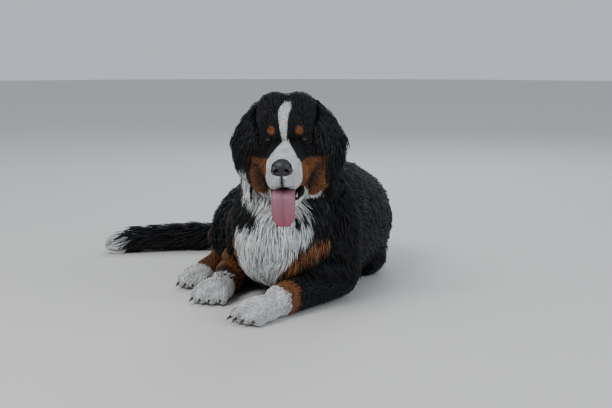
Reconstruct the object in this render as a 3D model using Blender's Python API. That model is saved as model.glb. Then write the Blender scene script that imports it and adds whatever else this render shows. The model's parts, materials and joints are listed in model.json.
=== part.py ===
"""A Bernese mountain dog lying on its left hip, head up, mouth open, at life size.

Metres, +Z up. The dog faces -Y and its own left side is +X. Each part of the body is a closed solid of
its own. Short fur is the solid's own surface. The long coat is built as flat, tapered locks that grow
from a core at about half the coat's depth, lie along the coat and are fused to that core.
"""

import math
import random
from collections import namedtuple

import bmesh
import bpy
from mathutils import Matrix, Vector
from mathutils.bvhtree import BVHTree

# Clearances, in metres
GAP = 0.0004  # between neighbouring solids
LOCK_CLEAR = 0.0012  # how much fatter a lock is made to test that it misses the other nodes
LOCK_OVER = 0.004  # the least that a lock lies over the body beyond its root
LOCK_STAGGER = 0.6  # every second lock of a row stands this much less high, and slips under the next
FLOOR_CUT = 0.5  # side of the block that trims everything under the floor
CORE_SHARE = 0.45  # of the coat's depth, where locks carry the rest
LOCK_RINGS = ((0.0, 0.35, 0.0), (0.22, 0.95, 0.4), (0.42, 0.8, 0.8))  # step, width and lift of each ring
LOCK_TIP = 0.36  # the last step of a lock, to its point
LOCK_TRIES = ((1.0, 1.0), (0.85, 1.5), (0.6, 1.0), (0.6, 1.6))  # length and lift, until one is clear

# The coat's depth over the skin, in metres
COAT_LEG = 0.008
COAT_ARM = 0.020
COAT_THIGH = 0.026
COAT_BODY = 0.028
COAT_RUFF = 0.034
COAT_TAIL = 0.026

# The head's place: the middle between the eyes, and how it is turned
EYE_LINE = Vector((0.001, -0.045, 0.387))
HEAD_YAW = math.radians(-5)  # the nose turns to the dog's right
HEAD_PITCH = math.radians(4)  # and a little down
HEAD_ROLL = math.radians(-1.4)
EYE_SPREAD = 0.040  # each eye from the middle of the face
EYE_DEPTH = 0.0055  # its middle behind the eye line
EYE_RADIUS = 0.0125
MUZZLE_REACH = 0.105  # from the eye line to the lip's front
NOSE_HEIGHT = -0.044  # its middle against the eye line
TONGUE_DROP = 0.176  # from the eye line to the tongue's tip
HEAD_TRIANGLES = 1500  # in the head's own surface

Section = namedtuple("Section", "x y z wide tall coat")

COLOURS = {
    "black_coat": ((0.012, 0.012, 0.014), 0.6),
    "white_coat": ((0.62, 0.64, 0.64), 0.7),
    "tan_coat": ((0.28, 0.11, 0.035), 0.7),
    "nose_leather": ((0.01, 0.01, 0.012), 0.35),
    "tongue": ((0.42, 0.13, 0.17), 0.35),
    "eye": ((0.02, 0.008, 0.004), 0.1),
}


class Limb:
    """A body part along a smooth path of oval sections, with its outline at the tips of the coat."""

    def __init__(self, sections, up=(0, 0, 1), power=2.3, pressed=False):
        self.sections = [Section(*s) for s in sections]
        self.up = Vector(up)
        self.power = power
        self.pressed = pressed  # it lies on the floor, which flattens the coat below

    def moved(self, matrix):
        places = [matrix @ Vector(s[:3]) for s in self.sections]
        sections = [(*place, *s[3:]) for place, s in zip(places, self.sections)]
        return Limb(sections, matrix.to_3x3() @ self.up, self.power, self.pressed)

    def at(self, s):
        """The section at s, from 0 at the start to 1 at the end, on a curve through the given ones."""
        last = len(self.sections) - 1
        place = min(max(s, 0.0), 1.0) * last
        i = min(int(place), last - 1)
        t = place - i
        a, b, c, d = (self.sections[min(max(i + k, 0), last)] for k in (-1, 0, 1, 2))
        values = []
        for p, q, r, w in zip(a, b, c, d):
            square, cube = 2 * p - 5 * q + 4 * r - w, 3 * q - p - 3 * r + w
            values.append(0.5 * (2 * q + (r - p) * t + square * t**2 + cube * t**3))
        return Section(*values)

    def frame(self, s):
        """Centre, sideways, upwards and along directions at s."""
        step = 0.01
        before, after = self.at(s - step), self.at(s + step)
        along = (Vector(after[:3]) - Vector(before[:3])).normalized()
        side = along.cross(self.up).normalized()
        return Vector(self.at(s)[:3]), side, side.cross(along).normalized(), along

    def point(self, s, angle, inset=0.0, shrink=1.0):
        """A point of the outline at s, at an angle round the path, moved in by inset."""
        centre, side, up, _ = self.frame(s)
        here = self.at(s)
        c, n = math.cos(angle), math.sin(angle)
        x = math.copysign(abs(c) ** (2 / self.power), c) * (here.wide - inset) * shrink
        height = here.tall - (0 if self.pressed and n < 0 else inset)
        y = math.copysign(abs(n) ** (2 / self.power), n) * height * shrink
        return centre + side * x + up * y


def clear_scene():
    for obj in list(bpy.data.objects):
        bpy.data.objects.remove(obj)


def material(slot):
    found = bpy.data.materials.get(slot)
    if found:
        return found
    made = bpy.data.materials.new(slot)
    made.use_nodes = True
    shader = made.node_tree.nodes["Principled BSDF"]
    colour, roughness = COLOURS[slot]
    shader.inputs["Base Color"].default_value = (*colour, 1)
    shader.inputs["Roughness"].default_value = roughness
    return made


def add_object(name, bm, slot="black_coat"):
    """An object from a bmesh, in triangles so that its swollen copy bends at the same edges."""
    bmesh.ops.triangulate(bm, faces=bm.faces)
    bmesh.ops.recalc_face_normals(bm, faces=bm.faces)
    mesh = bpy.data.meshes.new(name)
    bm.to_mesh(mesh)
    bm.free()
    mesh.materials.append(material(slot))
    mesh.shade_smooth()
    obj = bpy.data.objects.new(name, mesh)
    bpy.context.scene.collection.objects.link(obj)
    return obj


def apply_modifiers(obj):
    graph = bpy.context.evaluated_depsgraph_get()
    mesh = bpy.data.meshes.new_from_object(obj.evaluated_get(graph))
    obj.modifiers.clear()
    obj.data = mesh


def keep_largest(obj):
    """Drops loose scraps and sealed hollows that a cut or a union left."""
    bm = bmesh.new()
    bm.from_mesh(obj.data)
    bm.faces.ensure_lookup_table()
    unseen = set(bm.faces)
    shells = []
    while unseen:
        stack = [unseen.pop()]
        shell = list(stack)
        while stack:
            for edge in stack.pop().edges:
                for face in edge.link_faces:
                    if face in unseen:
                        unseen.discard(face)
                        stack.append(face)
                        shell.append(face)
        shells.append(shell)
    shells.sort(key=lambda shell: sum(f.calc_area() for f in shell))
    scraps = [f for shell in shells[:-1] for f in shell]
    bmesh.ops.delete(bm, geom=scraps, context="FACES")
    bm.to_mesh(obj.data)
    bm.free()


def boolean(obj, operation, others, solver="MANIFOLD"):
    """Cuts or joins obj with a list of closed objects, which are then removed."""
    group = bpy.data.collections.new("pieces")
    bpy.context.scene.collection.children.link(group)
    for other in others:
        group.objects.link(other)
    change = obj.modifiers.new("change", "BOOLEAN")
    change.operation = operation
    change.solver = solver
    change.operand_type = "COLLECTION"
    change.collection = group
    apply_modifiers(obj)
    for other in others:
        bpy.data.objects.remove(other)
    bpy.data.collections.remove(group)
    keep_largest(obj)


def swollen(obj, by=GAP):
    """A copy of obj that stands out by a clearance, as the cutter that makes room for it."""
    copy = bpy.data.objects.new("cutter", obj.data.copy())
    bpy.context.scene.collection.objects.link(copy)
    normals = [v.normal.copy() for v in copy.data.vertices]
    for vertex, normal in zip(copy.data.vertices, normals):
        vertex.co += normal * by
    return copy


def make_room(obj, *neighbours):
    """Trims obj so that it meets its neighbours face to face."""
    for neighbour in neighbours:
        coarse = obj.name == "torso" and "paw" in neighbour.name
        form = hull_of(neighbour) if coarse else neighbour
        boolean(obj, "DIFFERENCE", [swollen(form)])
        if coarse:
            bpy.data.objects.remove(form)


def hull_of(obj):
    """A plain closed form round an object, such as the hollow that a paw presses in a belly."""
    bm = bmesh.new()
    for vertex in obj.data.vertices:
        bm.verts.new(vertex.co)
    hull = bmesh.ops.convex_hull(bm, input=bm.verts)
    loose = [piece for piece in hull["geom_interior"] if isinstance(piece, bmesh.types.BMVert)]
    bmesh.ops.delete(bm, geom=loose, context="VERTS")
    return add_object("hull", bm)


def floor_block():
    bm = bmesh.new()
    bmesh.ops.create_cube(bm, size=1)
    bmesh.ops.scale(bm, vec=(4 * FLOOR_CUT, 4 * FLOOR_CUT, FLOOR_CUT), verts=bm.verts)
    bmesh.ops.translate(bm, vec=(0, FLOOR_CUT / 2, -FLOOR_CUT / 2), verts=bm.verts)
    return add_object("floor_block", bm)


def trim_at_floor(obj):
    boolean(obj, "DIFFERENCE", [floor_block()])


def loft(name, limb, rings, sides, share=1.0, domes=(0.7, 0.7), slot="black_coat"):
    """A closed solid along a limb. share is how much of the coat's depth it holds, and domes how
    far each end bulges, as a share of the end section's own size."""
    bm = bmesh.new()
    places = [i / (rings - 1) for i in range(rings)]
    ends = (math.radians(70), math.radians(38))
    stations = [(0.0, -domes[0], a) for a in ends]
    stations += [(s, 0.0, 0.0) for s in places]
    stations += [(1.0, domes[1], a) for a in reversed(ends)]
    loops = []
    for s, bulge, angle in stations:
        here = limb.at(s)
        inset = here.coat * (1 - share)
        _, _, _, along = limb.frame(s)
        reach = min(here.wide, here.tall) - inset
        circle = bmesh.ops.create_circle(bm, segments=sides, radius=1)["verts"]
        for vertex in circle:
            turn = math.atan2(vertex.co.y, vertex.co.x)
            vertex.co = limb.point(s, turn, inset, math.cos(angle))
            vertex.co += along * (bulge * reach * math.sin(angle))
        loops.append(circle)
    for first, second in zip(loops, loops[1:]):
        edges = {e for v in first + second for e in v.link_edges if len(e.link_faces) < 2}
        ours = set(first) | set(second)
        edges = [e for e in edges if set(e.verts) <= ours]
        bmesh.ops.bridge_loops(bm, edges=edges)
    for ring in (loops[0], loops[-1]):
        bmesh.ops.contextual_create(bm, geom=ring)
    return add_object(name, bm, slot)


def ball(name, centre, radii, sides=12, rows=8, slot="black_coat", turn=None):
    """An oval ball."""
    bm = bmesh.new()
    bmesh.ops.create_uvsphere(bm, u_segments=sides, v_segments=rows, radius=1)
    bmesh.ops.scale(bm, vec=radii, verts=bm.verts)
    if turn is not None:
        bmesh.ops.transform(bm, matrix=turn, verts=bm.verts)
    bmesh.ops.translate(bm, vec=centre, verts=bm.verts)
    return add_object(name, bm, slot)


def head_matrix():
    turn = (
        Matrix.Rotation(HEAD_YAW, 4, "Z")
        @ Matrix.Rotation(HEAD_ROLL, 4, "Y")
        @ Matrix.Rotation(HEAD_PITCH, 4, "X")
    )
    return Matrix.Translation(EYE_LINE) @ turn


def place_on_head(*objects):
    matrix = head_matrix()
    for obj in objects:
        obj.data.transform(matrix)


# The head is built round the middle of the eye line: x to the dog's left, -y forwards, z up
def skull_forms():
    """The balls that make the skull, brow, cheeks and lips, as centre and radii."""
    forms = [
        ((0, 0.058, 0.018), (0.078, 0.076, 0.072)),  # cranium
        ((0, 0.020, 0.028), (0.054, 0.044, 0.044)),  # forehead
        ((0, 0.065, -0.050), (0.070, 0.060, 0.070)),  # back of the jaws, into the throat
    ]
    for side in (-1, 1):
        forms += [
            ((side * 0.030, 0.050, 0.032), (0.050, 0.060, 0.062)),  # side of the crown
            ((side * 0.050, 0.038, -0.056), (0.041, 0.052, 0.072)),  # cheek
            ((side * 0.038, 0.010, 0.016), (0.021, 0.018, 0.013)),  # brow
            ((side * 0.032, 0.030, -0.010), (0.036, 0.034, 0.034)),  # round the eye
            ((side * 0.020, -0.062, -0.071), (0.020, 0.034, 0.026)),  # hanging upper lip
            ((side * 0.032, -0.020, -0.070), (0.020, 0.038, 0.028)),  # lip corner
        ]
    return forms


def muzzle():
    tip = MUZZLE_REACH
    return Limb(
        [
            (0, 0.030, -0.046, 0.046, 0.042, 0.003),
            (0, -0.010, -0.047, 0.043, 0.041, 0.003),
            (0, -0.045, -0.052, 0.038, 0.037, 0.003),
            (0, -tip + 0.024, -0.058, 0.036, 0.035, 0.003),
            (0, -tip + 0.006, -0.059, 0.030, 0.029, 0.003),
        ],
        power=2.6,
    )


def build_head():
    """Skull, brow, cheeks and upper muzzle in one skin, with sockets for the eyes, nose and tongue."""
    pieces = [ball("form", centre, radii, 24, 16) for centre, radii in skull_forms()]
    pieces.append(loft("form", muzzle(), 9, 20, domes=(0.3, 0.35)))
    bm = bmesh.new()
    for piece in pieces:
        bm.from_mesh(piece.data)
        bpy.data.objects.remove(piece)
    head = add_object("head", bm)
    remesh = head.modifiers.new("one_skin", "REMESH")
    remesh.mode = "VOXEL"
    remesh.voxel_size = 0.0035
    soften = head.modifiers.new("soften", "SMOOTH")
    soften.factor = 0.5
    soften.iterations = 9
    apply_modifiers(head)
    fewer = head.modifiers.new("fewer_faces", "DECIMATE")
    fewer.ratio = HEAD_TRIANGLES / (2 * len(head.data.polygons))
    apply_modifiers(head)
    return head


def lid(name, side, upper):
    """A tapered ridge along one edge of the eye."""
    lift = 1 if upper else -1
    sections = []
    for i in range(5):
        angle = math.radians(-75 + 37.5 * i)
        across = side * EYE_SPREAD + math.sin(angle) * EYE_RADIUS * 1.05
        height = lift * math.cos(angle) * EYE_RADIUS * 0.55
        depth = -0.0045 + (1 - math.cos(angle)) * 0.0045
        size = 0.0032 if upper else 0.0026
        taper = size * (0.45 + 0.55 * math.cos(angle))
        sections.append((across, depth, height, taper, taper, 0))
    return loft(name, Limb(sections, up=(0, 1, 0), power=2), 5, 5)


def build_eye(name, side):
    centre = (side * EYE_SPREAD, EYE_DEPTH, 0)
    return ball(name, centre, (EYE_RADIUS,) * 3, 10, 8, "eye")


def build_nose():
    """The nose leather with its two nostrils."""
    tip = -MUZZLE_REACH - 0.006
    nose = ball("nose", (0, tip + 0.008, NOSE_HEIGHT), (0.0250, 0.0165, 0.0195), 14, 8, "nose_leather")
    for side in (-1, 1):
        nostril = ball("nostril", (side * 0.014, tip - 0.003, NOSE_HEIGHT - 0.003), (0.0075, 0.007, 0.0046), 7, 5)
        boolean(nose, "DIFFERENCE", [nostril])
    return nose


def build_tongue():
    """A flat tongue that lies on the lower jaw and hangs over its front."""
    front = -MUZZLE_REACH + 0.012
    limb = Limb(
        [
            (0, 0.000, -0.104, 0.020, 0.006, 0),
            (0, -0.045, -0.101, 0.024, 0.006, 0),
            (0, front + 0.016, -0.100, 0.025, 0.006, 0),
            (0, front - 0.002, -0.109, 0.026, 0.006, 0),
            (0, front - 0.009, -0.132, 0.027, 0.006, 0),
            (0, front - 0.010, -0.155, 0.025, 0.0055, 0),
            (0, front - 0.009, -TONGUE_DROP + 0.006, 0.016, 0.0045, 0),
        ],
        up=(0, -0.6, 0.8),
        power=2.4,
    )
    return loft("tongue", limb, 9, 8, domes=(0.6, 1.0), slot="tongue")


def build_jaw():
    """The lower jaw, opened by about 15 degrees."""
    limb = Limb(
        [
            (0, 0.045, -0.098, 0.046, 0.024, 0.003),
            (0, 0.005, -0.112, 0.040, 0.022, 0.003),
            (0, -0.035, -0.121, 0.033, 0.018, 0.003),
            (0, -0.066, -0.125, 0.027, 0.015, 0.003),
            (0, -0.080, -0.125, 0.020, 0.012, 0.003),
        ],
        power=2.5,
    )
    return loft("jaw", limb, 5, 12, domes=(0.3, 0.5), slot="white_coat")


def ear_limb(side):
    return Limb(
        [
            (side * 0.054, 0.064, 0.068, 0.024, 0.013, 0.010),
            (side * 0.071, 0.053, 0.051, 0.033, 0.014, 0.012),
            (side * 0.086, 0.042, 0.024, 0.044, 0.016, 0.013),
            (side * 0.094, 0.034, -0.012, 0.048, 0.016, 0.013),
            (side * 0.094, 0.032, -0.048, 0.042, 0.015, 0.012),
            (side * 0.089, 0.034, -0.082, 0.027, 0.011, 0.010),
            (side * 0.084, 0.036, -0.098, 0.012, 0.008, 0.008),
        ],
        up=(side * 0.75, -0.62, 0.2),
        power=2.2,
    )


def build_ear(name, side):
    """A hanging triangular flap, hollow towards the head."""
    ear = loft(name, ear_limb(side), 7, 10, CORE_SHARE, domes=(0.5, 0.8))
    hollow = ball("hollow", (side * 0.085, 0.042, -0.010), (0.012, 0.026, 0.046), 7, 5)
    boolean(ear, "DIFFERENCE", [hollow])
    return ear


TORSO = Limb(
    [
        (-0.034, -0.022, 0.160, 0.060, 0.070, COAT_RUFF),
        (-0.020, 0.025, 0.150, 0.108, 0.112, COAT_RUFF),
        (0.002, 0.100, 0.160, 0.142, 0.156, COAT_RUFF),
        (0.030, 0.200, 0.168, 0.155, 0.172, COAT_BODY),
        (0.070, 0.320, 0.156, 0.160, 0.164, COAT_BODY),
        (0.104, 0.440, 0.140, 0.162, 0.150, COAT_BODY),
        (0.112, 0.550, 0.130, 0.155, 0.142, COAT_BODY),
        (0.076, 0.650, 0.118, 0.140, 0.128, COAT_THIGH),
        (0.008, 0.712, 0.105, 0.100, 0.108, COAT_THIGH),
    ],
    power=2.25,
    pressed=True,
)
NECK = Limb(
    [
        (0.012, 0.130, 0.235, 0.124, 0.120, COAT_RUFF),
        (0.014, 0.088, 0.285, 0.122, 0.116, COAT_RUFF),
        (0.010, 0.062, 0.324, 0.104, 0.098, COAT_RUFF),
        (0.004, 0.046, 0.352, 0.078, 0.074, COAT_ARM),
    ],
    power=2.1,
)
TAIL = Limb(
    [
        (-0.030, 0.735, 0.096, 0.052, 0.055, COAT_TAIL),
        (-0.100, 0.762, 0.062, 0.048, 0.050, COAT_TAIL),
        (-0.200, 0.770, 0.042, 0.044, 0.042, COAT_TAIL),
        (-0.330, 0.757, 0.040, 0.043, 0.040, COAT_TAIL),
        (-0.430, 0.733, 0.036, 0.039, 0.036, COAT_TAIL),
        (-0.506, 0.708, 0.026, 0.028, 0.026, 0.018),
    ],
    power=2.1,
    pressed=True,
)
UPPER_ARM = {
    "left": Limb(
        [
            (0.096, 0.118, 0.255, 0.040, 0.060, COAT_ARM),
            (0.112, 0.112, 0.185, 0.060, 0.086, COAT_ARM),
            (0.118, 0.124, 0.105, 0.055, 0.074, COAT_ARM),
            (0.122, 0.144, 0.048, 0.044, 0.054, COAT_ARM),
        ],
        up=(0, 1, 0),
    ),
    "right": Limb(
        [
            (-0.072, 0.172, 0.230, 0.038, 0.056, COAT_ARM),
            (-0.088, 0.188, 0.165, 0.056, 0.078, COAT_ARM),
            (-0.098, 0.222, 0.100, 0.050, 0.070, COAT_ARM),
            (-0.104, 0.262, 0.048, 0.042, 0.052, COAT_ARM),
        ],
        up=(0, 1, 0),
    ),
}
FOREARM = {
    "left": Limb(
        [
            (0.126, 0.150, 0.046, 0.046, 0.048, COAT_LEG),
            (0.104, 0.090, 0.050, 0.045, 0.048, COAT_LEG),
            (0.045, 0.010, 0.043, 0.039, 0.043, COAT_LEG),
            (-0.020, -0.078, 0.035, 0.033, 0.036, COAT_LEG),
        ],
    ),
    "right": Limb(
        [
            (-0.106, 0.300, 0.046, 0.044, 0.048, COAT_LEG),
            (-0.118, 0.250, 0.048, 0.043, 0.047, COAT_LEG),
            (-0.134, 0.195, 0.043, 0.038, 0.043, COAT_LEG),
            (-0.148, 0.135, 0.035, 0.033, 0.036, COAT_LEG),
        ],
    ),
}
THIGH = {
    "left": Limb(
        [
            (0.100, 0.620, 0.095, 0.080, 0.080, COAT_THIGH),
            (0.155, 0.540, 0.075, 0.088, 0.080, COAT_THIGH),
            (0.188, 0.445, 0.060, 0.072, 0.066, COAT_THIGH),
            (0.196, 0.385, 0.050, 0.052, 0.052, COAT_THIGH),
        ],
        pressed=True,
    ),
    "right": Limb(
        [
            (0.015, 0.640, 0.148, 0.096, 0.100, COAT_THIGH),
            (-0.048, 0.560, 0.150, 0.092, 0.110, COAT_THIGH),
            (-0.108, 0.455, 0.134, 0.076, 0.092, COAT_THIGH),
            (-0.148, 0.368, 0.112, 0.052, 0.064, COAT_THIGH),
        ],
    ),
}
SHANK_RIGHT = Limb(
    [
        (-0.156, 0.372, 0.090, 0.036, 0.044, COAT_LEG),
        (-0.166, 0.420, 0.070, 0.038, 0.044, COAT_LEG),
        (-0.170, 0.465, 0.046, 0.032, 0.036, COAT_LEG),
    ],
)
PASTERN = {
    "left": Limb(
        [
            (0.040, 0.535, 0.032, 0.034, 0.034, COAT_LEG),
            (-0.005, 0.500, 0.030, 0.031, 0.032, COAT_LEG),
            (-0.048, 0.458, 0.028, 0.029, 0.030, COAT_LEG),
        ],
    ),
    "right": Limb(
        [
            (-0.170, 0.492, 0.032, 0.032, 0.034, COAT_LEG),
            (-0.184, 0.400, 0.030, 0.029, 0.031, COAT_LEG),
            (-0.206, 0.300, 0.028, 0.029, 0.030, COAT_LEG),
        ],
    ),
}


def build_paw(name, limb, turn_out, length, width):
    """A paw at the end of a leg: a low pad, four toes and their claws."""
    end, _, _, along = limb.frame(1.0)
    heading = math.atan2(-along.x, -along.y) + turn_out
    pad = (0, -0.42 * length, 0.026)
    paw = ball(name, pad, (width * 0.47, length * 0.46, 0.029), 10, 6, "white_coat")
    pieces = []
    for i in range(4):
        off = i - 1.5
        middle = 1 - abs(off) / 1.5
        place = (off * width * 0.235, -length * (0.70 + 0.10 * middle), 0.019)
        splay = Matrix.Rotation(off * 0.13, 4, "Z")
        pieces.append(ball("toe", place, (width * 0.145, length * 0.21, 0.0195), 6, 4, "white_coat", splay))
        tip = (place[0] * 1.12, place[1] - length * 0.19, 0.009)
        pieces.append(build_claw(tip, off * 0.13))
    boolean(paw, "UNION", pieces)
    paw.data.transform(Matrix.Translation((end.x, end.y, 0)) @ Matrix.Rotation(-heading, 4, "Z"))
    return paw


def build_claw(tip, splay):
    bm = bmesh.new()
    bmesh.ops.create_cone(bm, cap_ends=True, segments=4, radius1=0.0042, radius2=0.0012, depth=0.017)
    turn = Matrix.Rotation(splay, 4, "Z") @ Matrix.Rotation(math.radians(100), 4, "X")
    bmesh.ops.transform(bm, matrix=Matrix.Translation(tip) @ turn, verts=bm.verts)
    return add_object("claw", bm, "white_coat")


def build_face():
    """The head and what it carries, placed on the body, with the neck that the head is set on."""
    eyes = [build_eye("eye_left", 1), build_eye("eye_right", -1)]
    nose, tongue, head, jaw = build_nose(), build_tongue(), build_head(), build_jaw()
    boolean(head, "UNION", [lid("lid", side, upper) for side in (-1, 1) for upper in (True, False)])
    ears = [build_ear("ear_left", 1), build_ear("ear_right", -1)]
    place_on_head(*eyes, nose, tongue, head, jaw, *ears)
    neck = loft("neck", NECK, 7, 16, CORE_SHARE, domes=(0.3, 0.3))
    return [*eyes, nose, tongue, neck, *ears, jaw, head]


def build_legs():
    legs = []
    for side in ("left", "right"):
        legs.append(build_paw(f"forepaw_{side}", FOREARM[side], 0.12, 0.118, 0.088))
        legs.append(build_paw(f"hindpaw_{side}", PASTERN[side], 0.10, 0.108, 0.078))
        legs.append(loft(f"forearm_{side}", FOREARM[side], 6, 10))
        legs.append(loft(f"upper_arm_{side}", UPPER_ARM[side], 5, 12, CORE_SHARE))
        legs.append(loft(f"pastern_{side}", PASTERN[side], 4, 9))
    legs.append(loft("shank_right", SHANK_RIGHT, 4, 10))
    for side in ("left", "right"):
        legs.append(loft(f"thigh_{side}", THIGH[side], 6, 14, CORE_SHARE))
    return legs


def build_trunk():
    tail = loft("tail", TAIL, 12, 10, CORE_SHARE, domes=(0.6, 1.0))
    torso = loft("torso", TORSO, 11, 20, CORE_SHARE, domes=(0.8, 0.6))
    return [tail, torso]


def near(first, second, margin=0.002):
    """Whether the boxes round two objects meet."""
    boxes = []
    for obj in (first, second):
        points = [v.co for v in obj.data.vertices]
        low = [min(p[i] for p in points) - margin for i in range(3)]
        high = [max(p[i] for p in points) + margin for i in range(3)]
        boxes.append(list(zip(low, high)))
    return all(a[0] < b[1] and b[0] < a[1] for a, b in zip(*boxes))


class Locks:
    """The locks of one stretch of coat. Rows follow the limb over a span of it, and turn over an arc
    in degrees round it: 0 to its side, 90 on top. A lie of (1, 0.5) runs along it and half as much down."""

    def __init__(self, rows, per_row, span, arc, length, width, thick, lie, sink=0.007):
        self.rows, self.per_row, self.span, self.arc = rows, per_row, span, arc
        self.length, self.width, self.thick = length, width, thick
        self.lie, self.sink = lie, sink  # sink is how deep the root sits in the core

    def starts(self, limb, draw):
        """Where each lock begins on the limb's core, with its lie and the depth of loose coat there."""
        for row in range(self.rows):
            s = self.span[0] + (self.span[1] - self.span[0]) * row / max(self.rows - 1, 1)
            loose = limb.at(s).coat * (1 - CORE_SHARE)
            _, _, _, along = limb.frame(s)
            lie = along * self.lie[0] + Vector((0, 0, -self.lie[1]))
            for k in range(self.per_row):
                turn = (k + 0.5 * (row % 2) + draw.uniform(-0.1, 0.1)) / self.per_row
                angle = math.radians(self.arc[0] + (self.arc[1] - self.arc[0]) * turn)
                depth = loose * (1 if k % 2 else LOCK_STAGGER)
                yield limb.point(s + draw.uniform(-0.01, 0.01), angle, loose), lie, depth


class ChestLocks(Locks):
    """The locks of the bib, in rows across the front of the chest, which hang down."""

    def starts(self, limb, draw):
        loose = limb.at(0).coat * (1 - CORE_SHARE)
        for row in range(self.rows):
            z = self.span[0] + (self.span[1] - self.span[0]) * row / (self.rows - 1)
            for k in range(self.per_row):
                turn = (k + 0.5 * (row % 2) + draw.uniform(-0.1, 0.1)) / self.per_row
                x = self.arc[0] + (self.arc[1] - self.arc[0]) * turn
                depth = loose * (1 if k % 2 else LOCK_STAGGER)
                yield Vector((x, limb.at(0).y - 0.05, z)), Vector((self.lie[0], 0, -self.lie[1])), depth


def surface(*objects):
    """One tree of the faces of some objects."""
    bm = bmesh.new()
    for obj in objects:
        bm.from_mesh(obj.data)
    tree = BVHTree.FromBMesh(bm)
    bm.free()
    return tree


def depth_inside(tree, point):
    """How far a point is inside a closed surface; negative outside."""
    place, normal, _, distance = tree.find_nearest(point)
    return distance if (point - place).dot(normal) < 0 else -distance


def lay_lock(tree, start, lie, loose, style, size, draw):
    """The rings of a lock that lies over the body, from its sunk root on, and its tip."""
    place, normal, _, _ = tree.find_nearest(start)
    heading = (lie - normal * lie.dot(normal)).normalized()
    heading = Matrix.Rotation(draw.uniform(-0.2, 0.2), 3, normal) @ heading
    curl = draw.uniform(-0.16, 0.16)
    low = draw.uniform(0.001, 0.005)
    rings = []
    for share, wide, lift in LOCK_RINGS:
        height = max(loose * lift, LOCK_OVER) if share else -style.sink
        if share:
            place, normal, _, _ = tree.find_nearest(place + heading * style.length * size * share)
            heading = (heading - normal * heading.dot(normal)).normalized()
            heading = Matrix.Rotation(curl, 3, normal) @ heading
        side = heading.cross(normal) * style.width * size * wide / 2
        centre = place + normal * height
        ring = [centre - side, centre + normal * style.thick * (1.0 if share else 0.3), centre + side]
        if share:
            for i in (0, 2):
                below, slope, _, _ = tree.find_nearest(ring[i])
                ring[i] = below + slope * height
        rings.append([above_floor(corner, low + 0.0004 * i) for i, corner in enumerate(ring)])
    tip, normal, _, _ = tree.find_nearest(place + heading * style.length * size * LOCK_TIP)
    return rings, above_floor(tip + normal * max(loose, LOCK_OVER), low)


def above_floor(corner, low):
    """A corner lifted to just over the floor, more so the lower it would have been."""
    return Vector((corner.x, corner.y, max(corner.z, low - 0.05 * min(corner.z, 0))))


def build_lock(rings, tip, fatter=0.0):
    """A flat, tapered blade with a ridge along it."""
    bm = bmesh.new()
    loops = []
    for ring in rings:
        middle = (ring[0] + ring[1] + ring[2]) / 3
        loops.append([bm.verts.new(corner + (corner - middle).normalized() * fatter) for corner in ring])
    point = bm.verts.new(tip)
    bm.faces.new(loops[0])
    for first, second in zip(loops, loops[1:]):
        for i in range(3):
            j = (i + 1) % 3
            bm.faces.new((first[i], second[i], second[j], first[j]))
    for i in range(3):
        bm.faces.new((loops[-1][i], point, loops[-1][(i + 1) % 3]))
    return add_object("lock", bm)


def grow_locks(node, limb, styles, body, others, draw):
    """Grows a node's locks on its core and fuses them. One that would cross another node is raised or
    made shorter, or left out where that does not clear it."""
    core = surface(node)
    locks = []
    for style in styles:
        for start, lie, loose in style.starts(limb, draw):
            uneven = draw.uniform(0.9, 1.12)
            for shorter, raised in LOCK_TRIES:
                size = uneven * shorter
                rings, tip = lay_lock(body, start, lie, loose * raised, style, size, draw)
                if min(depth_inside(core, corner) for corner in rings[0]) < style.sink * 0.3:
                    continue
                fat = build_lock(rings, tip, LOCK_CLEAR)
                crossing = surface(fat).overlap(others)
                bpy.data.objects.remove(fat)
                if not crossing:
                    locks.append(build_lock(rings, tip))
                    break
    if locks:
        boolean(node, "UNION", locks)
    return len(locks)


def middle_of_base(objects):
    """The middle of the box round everything, on the floor: the model's origin."""
    points = [v.co for obj in objects for v in obj.data.vertices]
    low = [min(p[i] for p in points) for i in range(3)]
    high = [max(p[i] for p in points) for i in range(3)]
    return Vector(((low[0] + high[0]) / 2, (low[1] + high[1]) / 2, low[2]))


def coat_of(nodes):
    """The nodes that carry locks, in the order that they lie over one another."""
    plans = []
    for side, name in ((1, "left"), (-1, "right")):
        ear = ear_limb(side).moved(head_matrix())
        fringe = Locks(3, 3, (0.05, 0.72), (20, 175), 0.060, 0.040, 0.006, (1, 0.2), 0.004)
        plans.append((f"ear_{name}", ear, [fringe]))
    ruff = Locks(3, 10, (0.82, 0.12), (0, 360), 0.115, 0.074, 0.010, (-1, 0.6))
    plans.append(("neck", NECK, [ruff]))
    outer = {"left": (-95, 95), "right": (85, 275)}
    for name, limb in UPPER_ARM.items():
        feathers = Locks(4, 6, (0.08, 0.7), outer[name], 0.090, 0.040, 0.007, (1, 0), 0.005)
        plans.append((f"upper_arm_{name}", limb, [feathers]))
    outer = {"left": (70, 215), "right": (-20, 160)}
    for name, limb in THIGH.items():
        breeches = Locks(4, 5, (0.05, 0.8), outer[name], 0.110, 0.060, 0.009, (1, 0.5))
        plans.append((f"thigh_{name}", limb, [breeches]))
    plume = Locks(5, 4, (0.06, 1.0), (-5, 205), 0.135, 0.060, 0.008, (1, 0.25))
    plans.append(("tail", TAIL, [plume]))
    bib = ChestLocks(4, 5, (0.25, 0.09), (-0.11, 0.11), 0.100, 0.060, 0.009, (0, 1))
    mantle = Locks(8, 7, (0.08, 0.96), (-14, 202), 0.165, 0.096, 0.009, (1, 0.55))
    plans.append(("torso", TORSO, [bib, mantle]))
    return [(nodes[name], limb, styles) for name, limb, styles in plans]


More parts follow.
